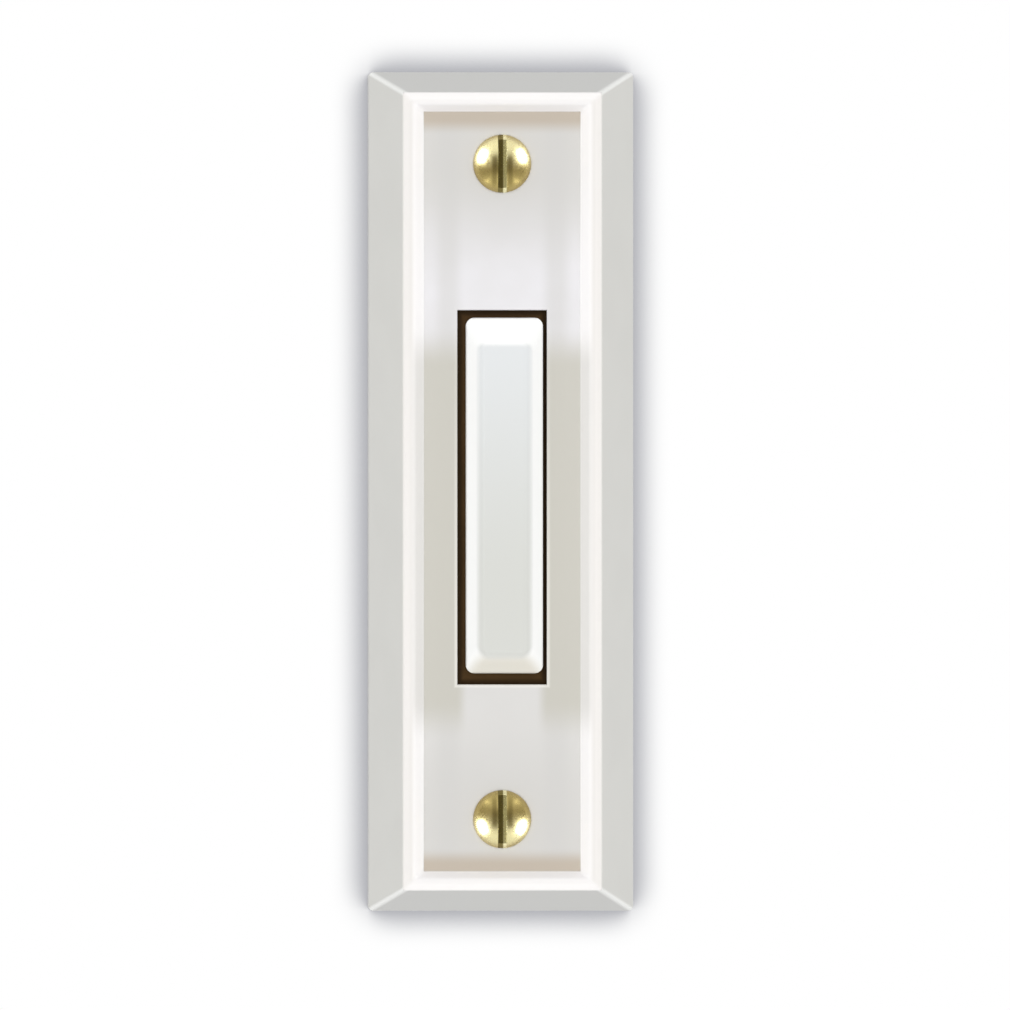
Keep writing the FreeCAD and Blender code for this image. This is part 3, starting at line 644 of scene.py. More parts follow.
def housing_plastic():
    """Polished bevel and rim and a finer-grained panel, with painted light and shade laid over the white."""
    sizes = bpy.context.scene.push_housing
    made, tree, shader, coordinates = material(
        "housing white", {"IOR": 1.5, "Coat Weight": 0.1, "Coat Roughness": 0.2}
    )
    tone = surface(tree, shader, coordinates, moulded_grain(), 0.12, Size=3200.0, Roughness=0.32, Spread=0.10)
    across, depth, up = axes(tree, coordinates)
    away, height = maths(tree, "ABSOLUTE", across), maths(tree, "ABSOLUTE", up)
    from_side = maths(tree, "SUBTRACT", (HOUSING_HIGH.x - HOUSING_LOW.x) / 2, away)
    from_end = maths(tree, "SUBTRACT", (HOUSING_HIGH.z - HOUSING_LOW.z) / 2, height)

    def within(side, end, soft):
        """A mask of what lies further in than two distances, from the sides and from the ends."""
        return product(
            tree, step(tree, from_side, side - soft, side + soft), step(tree, from_end, end - soft, end + soft)
        )

    climb_side = maths(tree, "DIVIDE", from_side, sizes.bevel_side)
    climb_end = maths(tree, "DIVIDE", from_end, sizes.bevel_end)
    ahead = maths(tree, "SUBTRACT", climb_side, climb_end)
    in_front = step(tree, depth, -sizes.flank + 0.5 * MM, -sizes.flank)
    end_bevel = product(tree, step(tree, ahead, -0.05, 0.05), in_front)
    # Painted highlight: a thin light line along each mitre
    mitre_highlight_line = product(tree, step(tree, maths(tree, "ABSOLUTE", ahead), 0.22, 0.05), in_front)
    rim = within(sizes.bevel_side, sizes.bevel_end, 0.04 * MM)
    edge_side, edge_end = sizes.bevel_side + sizes.rim, sizes.bevel_end + sizes.rim
    slope = within(edge_side, edge_end, 0.35 * MM)
    turned = edge_side - edge_end
    at_end = step(tree, maths(tree, "SUBTRACT", from_side, from_end), turned - 0.5 * MM, turned + 0.4 * MM)
    foot_side, foot_end = edge_side + sizes.slope_side, edge_end + sizes.slope_end
    panel = within(foot_side, foot_end, 0.07 * MM)

    # Where the painted shades and the painted highlight on the panel start and where they are full
    # Painted shade along the panel's ends, at the foot of the end slopes
    strip = step(tree, from_end, foot_end + 2.4 * MM, foot_end + 0.7 * MM)
    # Painted shade in a band either side of the window
    shade_band = product(tree, step(tree, away, 3.6 * MM, 5.2 * MM), step(tree, away, 7.4 * MM, 5.8 * MM))
    # Painted shade towards the panel's ends
    far = step(tree, height, 20 * MM, 33 * MM)
    # Painted shade: the panel darkens from above the bar to below it
    upper = step(tree, up, -26 * MM, 12 * MM)
    # Painted shade beside the window, centred a little below its middle
    from_shaded_middle = maths(tree, "ABSOLUTE", maths(tree, "SUBTRACT", up, -sizes.window_drop - 3.7 * MM))
    shaded_beside = product(tree, step(tree, from_shaded_middle, 21.3 * MM, 16.9 * MM), step(tree, away, 3.4 * MM, 4.7 * MM))
    # Painted highlight round the window, stronger towards its lower end
    round_window = step(tree, outside_window(tree, across, up), 0.42 * MM, 0.15 * MM)
    window_highlight = product(tree, round_window, step(tree, up, 30 * MM, -24 * MM))

    patches = product(tree, step(tree, tone, 0.3, 0.7), panel)
    paint(tree, shader, layered(
        tree, mottled(tree, tone, sizes.bevelled, 0.985, 1.01),
        # painted shade on the end bevels
        (end_bevel, 1, sizes.shaded_end_bevel),
        # painted highlight on the mitres
        (mitre_highlight_line, 1, sizes.mitre_highlight),
        # rim painted darker along the sides and lighter at the ends
        (rim, 1, blend_colours(tree, at_end, sizes.rimmed, sizes.rim_end_light)),
        # long slopes painted light, end slopes painted in shade
        (slope, 1, blend_colours(tree, at_end, sizes.sloped, sizes.slope_end_shade)),
        # painted shade beside the window, on the long slopes
        (product(tree, slope, shaded_beside), 0.36, sizes.shade_beside_window),
        # panel painted lighter above the bar and in shade below it
        (panel, 1, blend_colours(tree, upper, sizes.shaded_lower_panel, sizes.panel)),
        # painted shade at the panel's ends
        (product(tree, far, panel), 1, sizes.shaded_panel_ends),
        (patches, 0.3, shaded(sizes.shaded_lower_panel, 0.92)),
        # painted shade in a band either side of the window
        (product(tree, shade_band, panel), 0.5, shaded(sizes.shaded_lower_panel, 0.88)),
        # painted shade beside the window, on the panel
        (product(tree, panel, shaded_beside), 0.95, sizes.shade_beside_window),
        # painted shade along the panel's ends
        (product(tree, panel, strip), 1, sizes.end_strip_shade),
        # painted highlight round the window
        (window_highlight, 0.6, sizes.window_edge_highlight),
    ))
    return made


def bar_plastic():
    """Milk-white plastic: slopes painted bright as a highlight, a painted shade on the foot slope, and a cooler,
    greyer face that is partly its own tint and partly a painted reflection, painted darker low down.
    """
    sizes = bpy.context.scene.push_bar
    made, tree, shader, coordinates = material(
        "bar milk", {"IOR": 1.5, "Coat Weight": 0.15, "Coat Roughness": 0.15}
    )
    surface(tree, shader, coordinates, moulded_grain(), 0.02, Size=2400.0, Roughness=0.3, Spread=0.06)
    across, depth, up = axes(tree, coordinates)
    middle_x, middle_z = middle(BAR_LOW, BAR_HIGH)
    face_top = BAR_HIGH.z - sizes.inset_top
    on_face = product(
        tree, step(tree, depth, BAR_LOW.y + 0.4 * MM, BAR_LOW.y + 0.02 * MM),
        step(tree, up, face_top, face_top - 0.7 * MM),
    )
    # Painted shade: the face darkens towards its lower end
    upper = step(tree, up, middle_z - 11 * MM, middle_z + 20 * MM)
    away = maths(tree, "ABSOLUTE", maths(tree, "SUBTRACT", across, middle_x))
    inside = maths(tree, "SUBTRACT", (BAR_HIGH.x - BAR_LOW.x) / 2, away)
    climb_side = maths(tree, "DIVIDE", inside, sizes.inset_side)
    # Painted shade on the slope at the bar's foot, between its mitres
    climb_foot = maths(tree, "DIVIDE", maths(tree, "SUBTRACT", up, BAR_LOW.z), sizes.inset_bottom)
    between_mitres = step(tree, maths(tree, "SUBTRACT", climb_side, climb_foot), -0.7, 0.7)
    foot = product(tree, between_mitres, step(tree, climb_foot, 1.6, 0.5))
    paint(tree, shader, layered(
        # slopes painted bright as a highlight, the foot slope painted in shade
        tree, blend_colours(tree, foot, sizes.slopes, sizes.foot),
        # face in its own cooler tint with painted reflection, painted darker low down
        (on_face, 1, blend_colours(tree, upper, sizes.shaded_lower_face, sizes.face)),
    ))
    return made


def screw_brass(seat):
    """Bright plating with painted light: painted shade on the half facing the bar, low on the head and in the
    slot, painted dark reflections beside the slot, and a painted highlight on the slot's right side.
    """
    sizes = bpy.context.scene.push_screws
    made, tree, shader, coordinates = material("screw brass", {"Metallic": 1.0})
    tone = surface(tree, shader, coordinates, drawn_metal(), 0.03, Roughness=0.28, Spread=0.14)
    across, depth, up = axes(tree, coordinates)
    away = maths(tree, "ABSOLUTE", across)
    outward = maths(tree, "SUBTRACT", maths(tree, "ABSOLUTE", up), sizes.spacing / 2)
    # Painted reflection and shade on the half of the head that faces the bar
    inward_half = step(tree, outward, 0.9 * MM, -0.9 * MM)
    # Painted reflection: dark streaks either side of the slot, on the inward half
    reflection_streaks = product(
        tree, step(tree, away, 1.2 * MM, 0.9 * MM), step(tree, away, 0.5 * MM, 0.68 * MM),
        step(tree, outward, 1.1 * MM, 0.5 * MM), step(tree, outward, -2.7 * MM, -1.7 * MM),
    )
    # Painted shade low on the head, near its seat
    low = step(tree, depth, -seat - 0.95 * MM, -seat - 0.2 * MM)
    # Painted shade in the slot, with a painted highlight on its right side
    slot_side = sizes.slot_width / 2
    slot = product(
        tree, step(tree, away, slot_side + 0.03 * MM, slot_side), step(tree, depth, -seat + 0.1 * MM, -seat)
    )
    right = step(tree, across, 0.02 * MM, 0.16 * MM)
    paint(tree, shader, layered(
        tree, mottled(tree, tone, sizes.brass, 0.92, 1.05),
        # painted shade on the inward half
        (inward_half, 0.9, sizes.inward_shade_brass),
        # painted dark reflections beside the slot
        (reflection_streaks, 0.65, shaded(sizes.inward_shade_brass, 0.5)),
        # painted shade low on the head
        (low, 0.6, sizes.foot_shade_brass),
        # slot painted in shade, its right side painted as a highlight
        (slot, 1, blend_colours(tree, right, sizes.slot_shade, sizes.slot_highlight)),
    ))
    return made


def carrier_plastic():
    """Dark brown moulding, with painted shade under the edges of the window."""
    sizes = bpy.context.scene.push_inside
    made, tree, shader, coordinates = material("carrier brown", {"IOR": 1.5, "Specular IOR Level": 0.15})
    tone = surface(tree, shader, coordinates, moulded_grain(), 0.2, Size=2200.0, Roughness=0.55, Spread=0.12)
    across, _, up = axes(tree, coordinates)
    # Painted shade under the window's edges
    covered = step(tree, outside_window(tree, across, up), -0.8 * MM, -0.2 * MM)
    paint(tree, shader, layered(
        # brown moulding with painted shade under the window's edges
        tree, mottled(tree, tone, sizes.brown, 0.9, 1.1), (covered, 0.8, shaded(sizes.brown, 0.3))
    ))
    return made


def lamp_glass():
    """Clear glass of the little lamp."""
    made, tree, shader, coordinates = material(
        "lamp glass", {"Base Color": (0.96, 0.96, 0.93, 1.0), "IOR": 1.47, "Transmission Weight": 1.0}
    )
    surface(tree, shader, coordinates, moulded_grain(), 0.03, Size=1500.0, Roughness=0.04, Spread=0.03)
    return made


# Pieces

def outer_form(sizes):
    """The housing's outside as a closed form: flank, bevel, rim, recess and panel."""
    width, tall = HOUSING_HIGH.x - HOUSING_LOW.x, HOUSING_HIGH.z - HOUSING_LOW.z
    deep = -HOUSING_LOW.y
    form = block("housing_moulding", *outline(HOUSING_LOW, HOUSING_HIGH), 0, sizes.flank)
    edit(form)
    faces_towards(form, 0, -1, 0)
    pull(0, sizes.flank - deep, 0)
    rim_width, rim_tall = width - 2 * sizes.bevel_side, tall - 2 * sizes.bevel_end
    spread(rim_width / width, rim_tall / tall, (0, -deep, 0))
    bpy.ops.mesh.inset(thickness=sizes.rim)
    pull(0, sizes.recess, 0)
    recess_width, recess_tall = rim_width - 2 * sizes.rim, rim_tall - 2 * sizes.rim
    spread(1 - 2 * sizes.slope_side / recess_width, 1 - 2 * sizes.slope_end / recess_tall, (0, 0, 0))
    deselect()

    def kind(first, last):
        """Names the edge between two corners."""
        near, far = sorted((-first.y, -last.y))
        if far - near > NEAR:
            if far < sizes.flank + NEAR:
                return "corner"
            return "mitre" if near < sizes.flank + NEAR else "fold"
        if abs(near - deep) < NEAR:
            along = abs(first.x - last.x) < NEAR or abs(first.z - last.z) < NEAR
            outer = max(abs(first.x), abs(last.x)) > rim_width / 2 - NEAR
            return ("rim" if outer else "lip") if along else None
        if abs(near - sizes.flank) < NEAR:
            return "belt"
        return "foot" if near > sizes.flank else None

    widths = {
        "corner": sizes.corner, "mitre": sizes.mitre, "belt": sizes.rim_edge, "rim": sizes.rim_edge,
        "lip": sizes.lip, "fold": sizes.mitre, "foot": sizes.foot,
    }
    most = soften(form, widths, kind)
    return modify(form, "BEVEL", limit_method="WEIGHT", width=most, segments=5, use_clamp_overlap=False)


def inside_form(name, sizes, wall):
    """The space within a wall of one thickness: upright, then sloped in step with the bevel."""
    ceiling = -HOUSING_LOW.y - sizes.recess - sizes.panel_thickness + (sizes.wall - wall)
    knee = sizes.flank - wall / 4
    rise, bevel_height = ceiling - knee, -HOUSING_LOW.y - sizes.flank
    half_x, half_z = HOUSING_HIGH.x - wall, HOUSING_HIGH.z - wall
    form = block(name, -half_x, half_x, -half_z, half_z, -MM, knee)
    edit(form)
    faces_towards(form, 0, -1, 0)
    pull(0, -rise, 0)
    run_x, run_z = rise * sizes.bevel_side / bevel_height, rise * sizes.bevel_end / bevel_height
    spread(1 - run_x / half_x, 1 - run_z / half_z, (0, 0, 0))
    deselect()
    return form


def guide_frame(wall, panel):
    """The wall behind the panel that the bar's flange slides in."""
    room, back = 0.15 * MM, 7.0 * MM
    walls = block("guide", *outline(CARRIER_LOW, CARRIER_HIGH, room + wall), back, panel)
    hollow = block("hollow", *outline(CARRIER_LOW, CARRIER_HIGH, room), back - wall, panel + wall)
    return combine(walls, "DIFFERENCE", hollow)


def plate_hook(sizes, side, z):
    """A snap hook on the side wall, with a slope that the base plate slides over."""
    under_plate, lap, lead_in, slope = 1.55 * MM, 0.6 * MM, 1.6 * MM, 0.75
    catch, tip = under_plate - PLATE_FRONT_FACE, side * (PLATE_HIGH.x - lap)
    x, half = sorted((tip, side * (HOUSING_HIGH.x - sizes.wall / 2))), sizes.hook_length / 2
    hook = block("hook", *x, z - half, z + half, -catch - lead_in, -catch)
    edit(hook)
    pick_edges(hook, lambda at: abs(at.x - tip) < NEAR and at.y > catch + lead_in - NEAR)
    bpy.ops.transform.translate(value=(0, -slope * lead_in, 0))
    deselect()
    return hook


def ribs(sizes, spacing):
    """What is moulded behind the panel: guide frame, bosses, webs, ledges and hooks."""
    boss_back, web_back, ledge_lap = 0.3 * MM, 3.0 * MM, 2.0 * MM
    panel = -HOUSING_LOW.y - sizes.recess - sizes.panel_thickness / 2
    parts = [guide_frame(sizes.rib, panel)]
    for end in (1, -1):
        z, half = end * spacing / 2, sizes.rib / 2
        parts.append(rod("boss", 0, z, sizes.boss, boss_back, panel))
        parts.append(block("web", HOUSING_LOW.x, HOUSING_HIGH.x, z - half, z + half, web_back, panel))
        z, half = end * sizes.hook_height, sizes.ledge / 2
        for side in (1, -1):
            x = sorted((side * (PLATE_HIGH.x - ledge_lap), side * HOUSING_HIGH.x))
            parts.append(block("ledge", *x, z - half, z + half, PLATE_FRONT_FACE, panel))
            parts.append(plate_hook(sizes, side, z))
    return parts


class PUSHBUTTON_OT_housing(bpy.types.Operator):
    """Model the front moulding, with its window, screw holes and what is moulded behind its panel"""
    bl_idname = "pushbutton.housing"
    bl_label = "Housing"

    def execute(self, context):
        sizes, spacing = context.scene.push_housing, context.scene.push_screws.spacing
        form = outer_form(sizes)
        combine(form, "DIFFERENCE", inside_form("cavity", sizes, sizes.wall))
        for part in ribs(sizes, spacing):
            combine(part, "INTERSECT", inside_form("trim", sizes, sizes.wall / 2))
            combine(form, "UNION", part)
        front, z = -HOUSING_LOW.y, -sizes.window_drop
        floor = front - sizes.recess
        half_x, half_z = sizes.window_width / 2, sizes.window_length / 2
        behind = floor - 2 * sizes.panel_thickness
        window = block("window", -half_x, half_x, z - half_z, z + half_z, behind, front)
        combine(form, "DIFFERENCE", window)
        edit(form)
        pick_edges(form, lambda at: (
            abs(at.y + floor) < NEAR and abs(at.x) < half_x + NEAR and abs(at.z - z) < half_z + NEAR
        ))
        bpy.ops.mesh.bevel(offset=sizes.window_edge, segments=2, affect="EDGES", clamp_overlap=True)
        deselect()
        for end in (1, -1):
            combine(form, "DIFFERENCE", rod("hole", 0, end * spacing / 2, sizes.hole, -MM, front))
        shade(form)
        place(form, housing_plastic(), "front_housing")
        return {"FINISHED"}


def crown_block(sizes, crown, back):
    """A square-cornered block whose front has four slopes, with soft mitres and edges."""
    shoulder = crown - sizes.slope_height
    width, tall = BAR_HIGH.x - BAR_LOW.x, BAR_HIGH.z - BAR_LOW.z
    x, z = middle(BAR_LOW, BAR_HIGH)
    bar = block("push_bar_moulding", *outline(BAR_LOW, BAR_HIGH), back, shoulder)
    edit(bar)
    faces_towards(bar, 0, -1, 0)
    pull(0, -sizes.slope_height, 0)
    top, bottom = sizes.inset_top, sizes.inset_bottom
    spread(1 - 2 * sizes.inset_side / width, 1 - (top + bottom) / tall, (x, -crown, z))
    bpy.ops.transform.translate(value=(0, 0, (bottom - top) / 2))
    deselect()

    def kind(first, last):
        """Names the edge between two corners."""
        near, far = sorted((-first.y, -last.y))
        if far - near > NEAR:
            return "mitre" if far > shoulder + NEAR else None
        if near > crown - NEAR:
            return "edge"
        return "shoulder" if near > shoulder - NEAR else None

    most = soften(bar, {"mitre": sizes.mitre, "edge": sizes.edge, "shoulder": sizes.shoulder}, kind)
    return modify(bar, "BEVEL", limit_method="WEIGHT", width=most, segments=6, use_clamp_overlap=True)


def rounded_block(name, sides, back, front, radius):
    """A block whose four edges from back to front are rounded."""
    piece = block(name, *sides, back, front)
    edit(piece)
    pick(piece, "EDGE", lambda edge: abs(edge.verts[0].co.y - edge.verts[1].co.y) > NEAR)
    bpy.ops.mesh.bevel(offset=radius, segments=8, affect="EDGES")
    deselect()
    return piece


class PUSHBUTTON_OT_bar(bpy.types.Operator):
    """Model the push bar: a hollow moulding with a sloped, softened crown and a pusher pin"""
    bl_idname = "pushbutton.bar"
    bl_label = "Push bar"

    def execute(self, context):
        sizes = context.scene.push_bar
        crown, back = -BAR_LOW.y, -CARRIER_LOW.y - sizes.plug
        bar = crown_block(sizes, crown, back)
        outside, inside = outline(BAR_LOW, BAR_HIGH), outline(BAR_LOW, BAR_HIGH, -sizes.wall)
        sides = rounded_block("bar_sides", outside, back - MM, crown + MM, sizes.corner)
        combine(bar, "INTERSECT", sides)
        hollow = rounded_block("bar_hollow", inside, back - MM, crown - sizes.crown_wall, sizes.corner / 2)
        combine(bar, "DIFFERENCE", hollow)
        x, z = middle(BAR_LOW, BAR_HIGH)[0], context.scene.push_inside.contact_z
        pin = rod("pin", x, z, sizes.pin, -BAR_HIGH.y, crown - sizes.crown_wall / 2, 40)
        combine(bar, "UNION", pin)
        shade(bar, 40)
        place(bar, bar_plastic(), "push_bar", "bar")
        return {"FINISHED"}


def domed_head(sizes, z, seat):
    """A mounting screw's head: an upright edge on its seat, then a dome in rings."""
    radius, rise, rings = sizes.head_radius, sizes.head_height - sizes.head_edge, 9
    head = rod("mounting_screw_upper_dressed", 0, z, radius, seat, seat + sizes.head_edge)
    edit(head)
    faces_towards(head, 0, -1, 0)
    sphere = (radius ** 2 + rise ** 2) / (2 * rise)
    radii = [radius * cos(ring * pi / 2 / (rings + 0.25)) for ring in range(1, rings + 1)]
    stages = [(each, (sphere ** 2 - each ** 2) ** 0.5 - (sphere - rise)) for each in radii]
    taper(radius, 0.0, (0, 0, z), stages)
    deselect()
    return head


def cut_slot(head, sizes, x, z, radius, top, way):
    """Saws a slot up and down a head that faces the front (1) or the wall (-1), and breaks its edges."""
    half, floor = sizes.slot_width / 2, top - way * sizes.slot_depth
    depths = sorted((floor, top + way * sizes.slot_depth))
    saw = block("saw", x - half, x + half, z - 2 * radius, z + 2 * radius, *depths)
    combine(head, "DIFFERENCE", saw)
    edit(head)
    pick(head, "EDGE", lambda edge: all(
        abs(abs(corner.co.x - x) - half) < NEAR / 10 for corner in edge.verts
    ) and any(way * (-corner.co.y - floor) > NEAR for corner in edge.verts))
    bpy.ops.mesh.bevel(offset=sizes.slot_edge, segments=3, affect="EDGES", clamp_overlap=True)
    deselect()


def wood_thread(sizes, z, tip):
    """The helical ridge behind the wall: it runs out of the shank and is drawn down with the point."""
    flatness, run_out, drawn_share, drawn_to = 0.6, 0.5, 0.9, 0.16
    ridge, centre = disc("thread", sizes.root_radius, 0, z, sizes.ridge, 4), (0, 0, z)
    edit(ridge)
    bpy.ops.mesh.select_all(action="SELECT")
    bpy.ops.transform.resize(value=(1, flatness, 1))
    hidden = sizes.shank_radius / (sizes.root_radius + sizes.ridge)
    spread(hidden, hidden, centre)
    wind(centre, run_out, sizes.pitch, 1 / hidden)
    wind(centre, -(tip + sizes.point) / sizes.pitch - run_out, sizes.pitch)
    wind(centre, drawn_share * sizes.point / sizes.pitch, sizes.pitch, drawn_to)
    face_out()
    return ridge


class PUSHBUTTON_OT_mounting_screws(bpy.types.Operator):
    """Model the two mounting screws: domed slotted heads, plain shanks and wood threads"""
    bl_idname = "pushbutton.mounting_screws"
    bl_label = "Mounting screws"

    def execute(self, context):
        sizes = context.scene.push_screws
        seat = -HOUSING_LOW.y - context.scene.push_housing.recess
        z, tip = sizes.spacing / 2, seat - sizes.full_length
        head = domed_head(sizes, z, seat)
        cut_slot(head, sizes, 0, z, sizes.head_radius, seat + sizes.head_height, 1)
        root, neck, blunt, into_head = sizes.root_radius, -0.4 * MM, 0.06 * MM, 0.2 * MM
        shank = rod("shank", 0, z, sizes.shank_radius, 0, seat + into_head)
        edit(shank)
        faces_towards(shank, 0, 1, 0)
        taper(sizes.shank_radius, 0.0, (0, 0, z), ((root, neck), (root, tip + sizes.point), (blunt, tip)))
        deselect()
        thread = wood_thread(sizes, z, tip)
        take(head)
        shank.select_set(True)
        thread.select_set(True)
        bpy.ops.object.join()
        shade(head, 38)
        lower, brass = twin(head, "mounting_screw_lower_dressed", 0, -sizes.spacing), screw_brass(seat)
        place(head, brass, "mounting_screw_upper")
        place(lower, brass, "mounting_screw_lower")
        return {"FINISHED"}


class PUSHBUTTON_OT_terminal_screws(bpy.types.Operator):
    """Model the two terminal screws, whose slotted heads face the wall"""
    bl_idname = "pushbutton.terminal_screws"
    bl_label = "Terminal screws"

    def execute(self, context):
        sizes = context.scene.push_screws
        radius, x, z = sizes.terminal_radius, middle(WASHER_LOW, WASHER_HIGH)[0], sizes.terminal_z
        seat, front = -WASHER_HIGH.y, -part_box("terminal_screw_right")[0].y
        top = seat - sizes.terminal_height
        edge, tip_height, tip_share = top + 0.4 * MM, 0.3 * MM, 0.8
        screw = rod("terminal_screw_right_dressed", x, z, radius, edge, seat)
        edit(screw)
        faces_towards(screw, 0, 1, 0)
        dome = ((2.16 * MM, top + 0.17 * MM), (1.8 * MM, top + 0.05 * MM), (1.2 * MM, top))
        taper(radius, edge, (x, 0, z), dome)
        faces_towards(screw, 0, -1, 0)
        bpy.ops.mesh.inset(thickness=radius - sizes.terminal_shank)
        pull(0, seat - front + tip_height, 0)
        pull(0, -tip_height, 0)
        spread(tip_share, tip_share, (x, 0, z))
        deselect()
        cut_slot(screw, sizes, x, z, radius, top, -1)
        shade(screw, 38)
        left = twin(screw, "terminal_screw_left_dressed", -2 * x, 0)
        brass = metal("terminal brass", sizes.plain_brass, 0.26, bump=0.12)
        place(screw, brass, "terminal_screw_right")
        place(left, brass, "terminal_screw_left")
        return {"FINISHED"}


class PUSHBUTTON_OT_springs(bpy.types.Operator):
    """Wind the two return springs, with closed turns at both ends"""
    bl_idname = "pushbutton.springs"
    bl_label = "Return springs"

    def execute(self, context):
        sizes = context.scene.push_inside
        low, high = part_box("return_spring_upper")
        x, z = middle(low, high)
        front, open_height = -low.y - sizes.wire / 2, high.y - low.y - 3 * sizes.wire
        upper = disc("return_spring_upper_wound", x + sizes.coil_radius, front, z, sizes.wire / 2, 10)
        edit(upper)
        bpy.ops.mesh.select_all(action="SELECT")
        for turns, rise in ((1, sizes.wire), (sizes.turns, open_height / sizes.turns), (1, sizes.wire)):
            wind((x, -front, z), turns, rise)
        face_out()
        shade(upper, 60)
        lower = twin(upper, "return_spring_lower_wound", 0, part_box("return_spring_lower")[0].z - low.z)
        steel = metal("spring steel", (0.55, 0.55, 0.57), 0.24, bump=0.1)
        for spring, node in ((upper, "return_spring_upper"), (lower, "return_spring_lower")):
            near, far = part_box(node)
            height = (near.z + far.z) / 2
            bridge(spring, steel, "spring_steel", node, (x, far.y, height), (x, near.y, height))
        return {"FINISHED"}


def fold_up(leaf, x, y, z, rise, run):
    """Draws the leaf's end up a ramp and level again, in small turns at both bends, from one point."""
    slope, bends, piece = atan2(rise, run), 5, 0.18 * MM
    ways = [slope * (part + 0.5) / bends for part in range(bends)]
    ramp = (rise - 2 * piece * sum(sin(way) for way in ways)) / sin(slope)
    stretches = [(way, piece, slope / bends) for way in ways]
    stretches.append((slope, ramp, 0.0))
    stretches += [(way, piece, -slope / bends) for way in reversed(ways)]
    edit(leaf)
    faces_towards(leaf, 0, 0, 1)
    for way, distance, bend in stretches:
        forward, up = sin(way) * distance, cos(way) * distance
        y, z = y - forward, z + up
        pull(0, -forward, up)
        turn(bend, "X", (x, y, z))
    pull(0, 0, LEAF_HIGH.z - z)
    deselect()


def draw_out(leaf, sizes, x, foot_top, terminal_x, terminal_z):
    """Draws the leaf's foot out to the side, then up past the terminal to a narrower solder tab."""
    inner, shoulder, narrowing = terminal_x + sizes.strip_width / 2, terminal_z + 2.3 * MM, 0.3 * MM
    edit(leaf)
    pick(leaf, "FACE", lambda face: face.normal.x < -0.99 and face.calc_center_median().z < foot_top)
    pull(inner - x + sizes.leaf_width / 2, 0, 0)
    pull(-sizes.strip_width, 0, 0)
    pick(leaf, "FACE", lambda face: face.normal.z > 0.99 and face.calc_center_median().x < inner)
    pull(0, 0, shoulder - foot_top)
    pull(0, 0, narrowing)
    spread(sizes.tab_width / sizes.strip_width, 1, (terminal_x, 0, 0))
    pull(0, 0, terminal_z + sizes.tab_length - shoulder - narrowing)
    deselect()


class PUSHBUTTON_OT_leaf(bpy.types.Operator):
    """Fold the springy contact leaf from one strip, with its arm, terminal hole and solder tab"""
    bl_idname = "pushbutton.leaf"
    bl_label = "Contact leaf"

    def execute(self, context):
        sizes, terminal_z = context.scene.push_inside, context.scene.push_screws.terminal_z
        x, terminal_x = middle(CARRIER_LOW, CARRIER_HIGH)[0], -middle(WASHER_LOW, WASHER_HIGH)[0]
        plate, thin, half = PLATE_FRONT_FACE, sizes.strip, sizes.leaf_width / 2
        foot, rise = LEAF_LOW.z + sizes.foot_length, -LEAF_LOW.y - thin - plate
        before_bend, rivet_radius, hole_radius, edge = 0.2 * MM, 0.65 * MM, 1.35 * MM, 0.03 * MM
        top = foot - before_bend
        leaf = block("contact_leaf_folded", x - half, x + half, LEAF_LOW.z, top, plate, plate + thin)
        fold_up(leaf, x, -plate - thin / 2, top, rise, sizes.ramp_length)
        draw_out(leaf, sizes, x, top, terminal_x, terminal_z)
        rivet = rod("rivet hole", x, sizes.contact_z, rivet_radius, plate + thin, plate + 2 * rise, 32)
        hole = rod("terminal hole", terminal_x, terminal_z, hole_radius, plate - MM, plate + MM, 48)
        combine(leaf, "DIFFERENCE", rivet, hole)
        modify(
            leaf, "BEVEL", limit_method="ANGLE", angle_limit=radians(60), width=edge, segments=2,
            use_clamp_overlap=True,
        )
        shade(leaf, 40)
        bronze = metal("leaf bronze sheet", sizes.bronze, 0.26, ROLLED)
        ends = (x, -plate, foot), (x, -plate, foot + 1.5 * sizes.ramp_length)
        bridge(leaf, bronze, "leaf_bronze", "contact_leaf", *ends)
        return {"FINISHED"}


class PUSHBUTTON_OT_finishes(bpy.types.Operator):
    """Give the frame's own pieces their finishes"""
    bl_idname = "pushbutton.finishes"
    bl_label = "Finishes"

    def execute(self, context):
        bronze = context.scene.push_inside.bronze
        rows = (
            (carrier_plastic(), "bar_carrier"),
            (plastic("plate brown", (0.055, 0.028, 0.012), 0.62, 1500.0, 0.35), "base_plate"),
            (metal("leaf bronze", bronze, 0.28, ROLLED), "fixed_strip"),
            (metal("contact silver", (0.78, 0.78, 0.75), 0.2), "moving_contact", "fixed_contact"),
            (lamp_glass(), "lamp_bulb"),
            (metal("lead tinned", (0.6, 0.6, 0.6), 0.25, DRAWN), "lamp_lead_left", "lamp_lead_right"),
            (metal("nut brass", (0.68, 0.52, 0.22), 0.3, ROLLED), "terminal_nut_left", "terminal_nut_right"),
            (
                metal("washer zinc", (0.55, 0.56, 0.58), 0.32, DRAWN),
                "terminal_washer_left", "terminal_washer_right",
            ),
        )
        for finish, *nodes in rows:
            for node in nodes:
                dress(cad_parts[node], finish)
        return {"FINISHED"}


# Studio

def softbox(name, where, target, size, watts):
    """A square lamp that faces a point."""
    deselect()
    bpy.ops.object.light_add(type="AREA", location=where)
    lamp = bpy.context.object
    lamp.name = lamp.data.name = name
    lamp.data.shape, lamp.data.size, lamp.data.energy = "SQUARE", size, watts
    lamp.rotation_euler = (Vector(target) - Vector(where)).to_track_quat("-Z", "Y").to_euler()
    return lamp


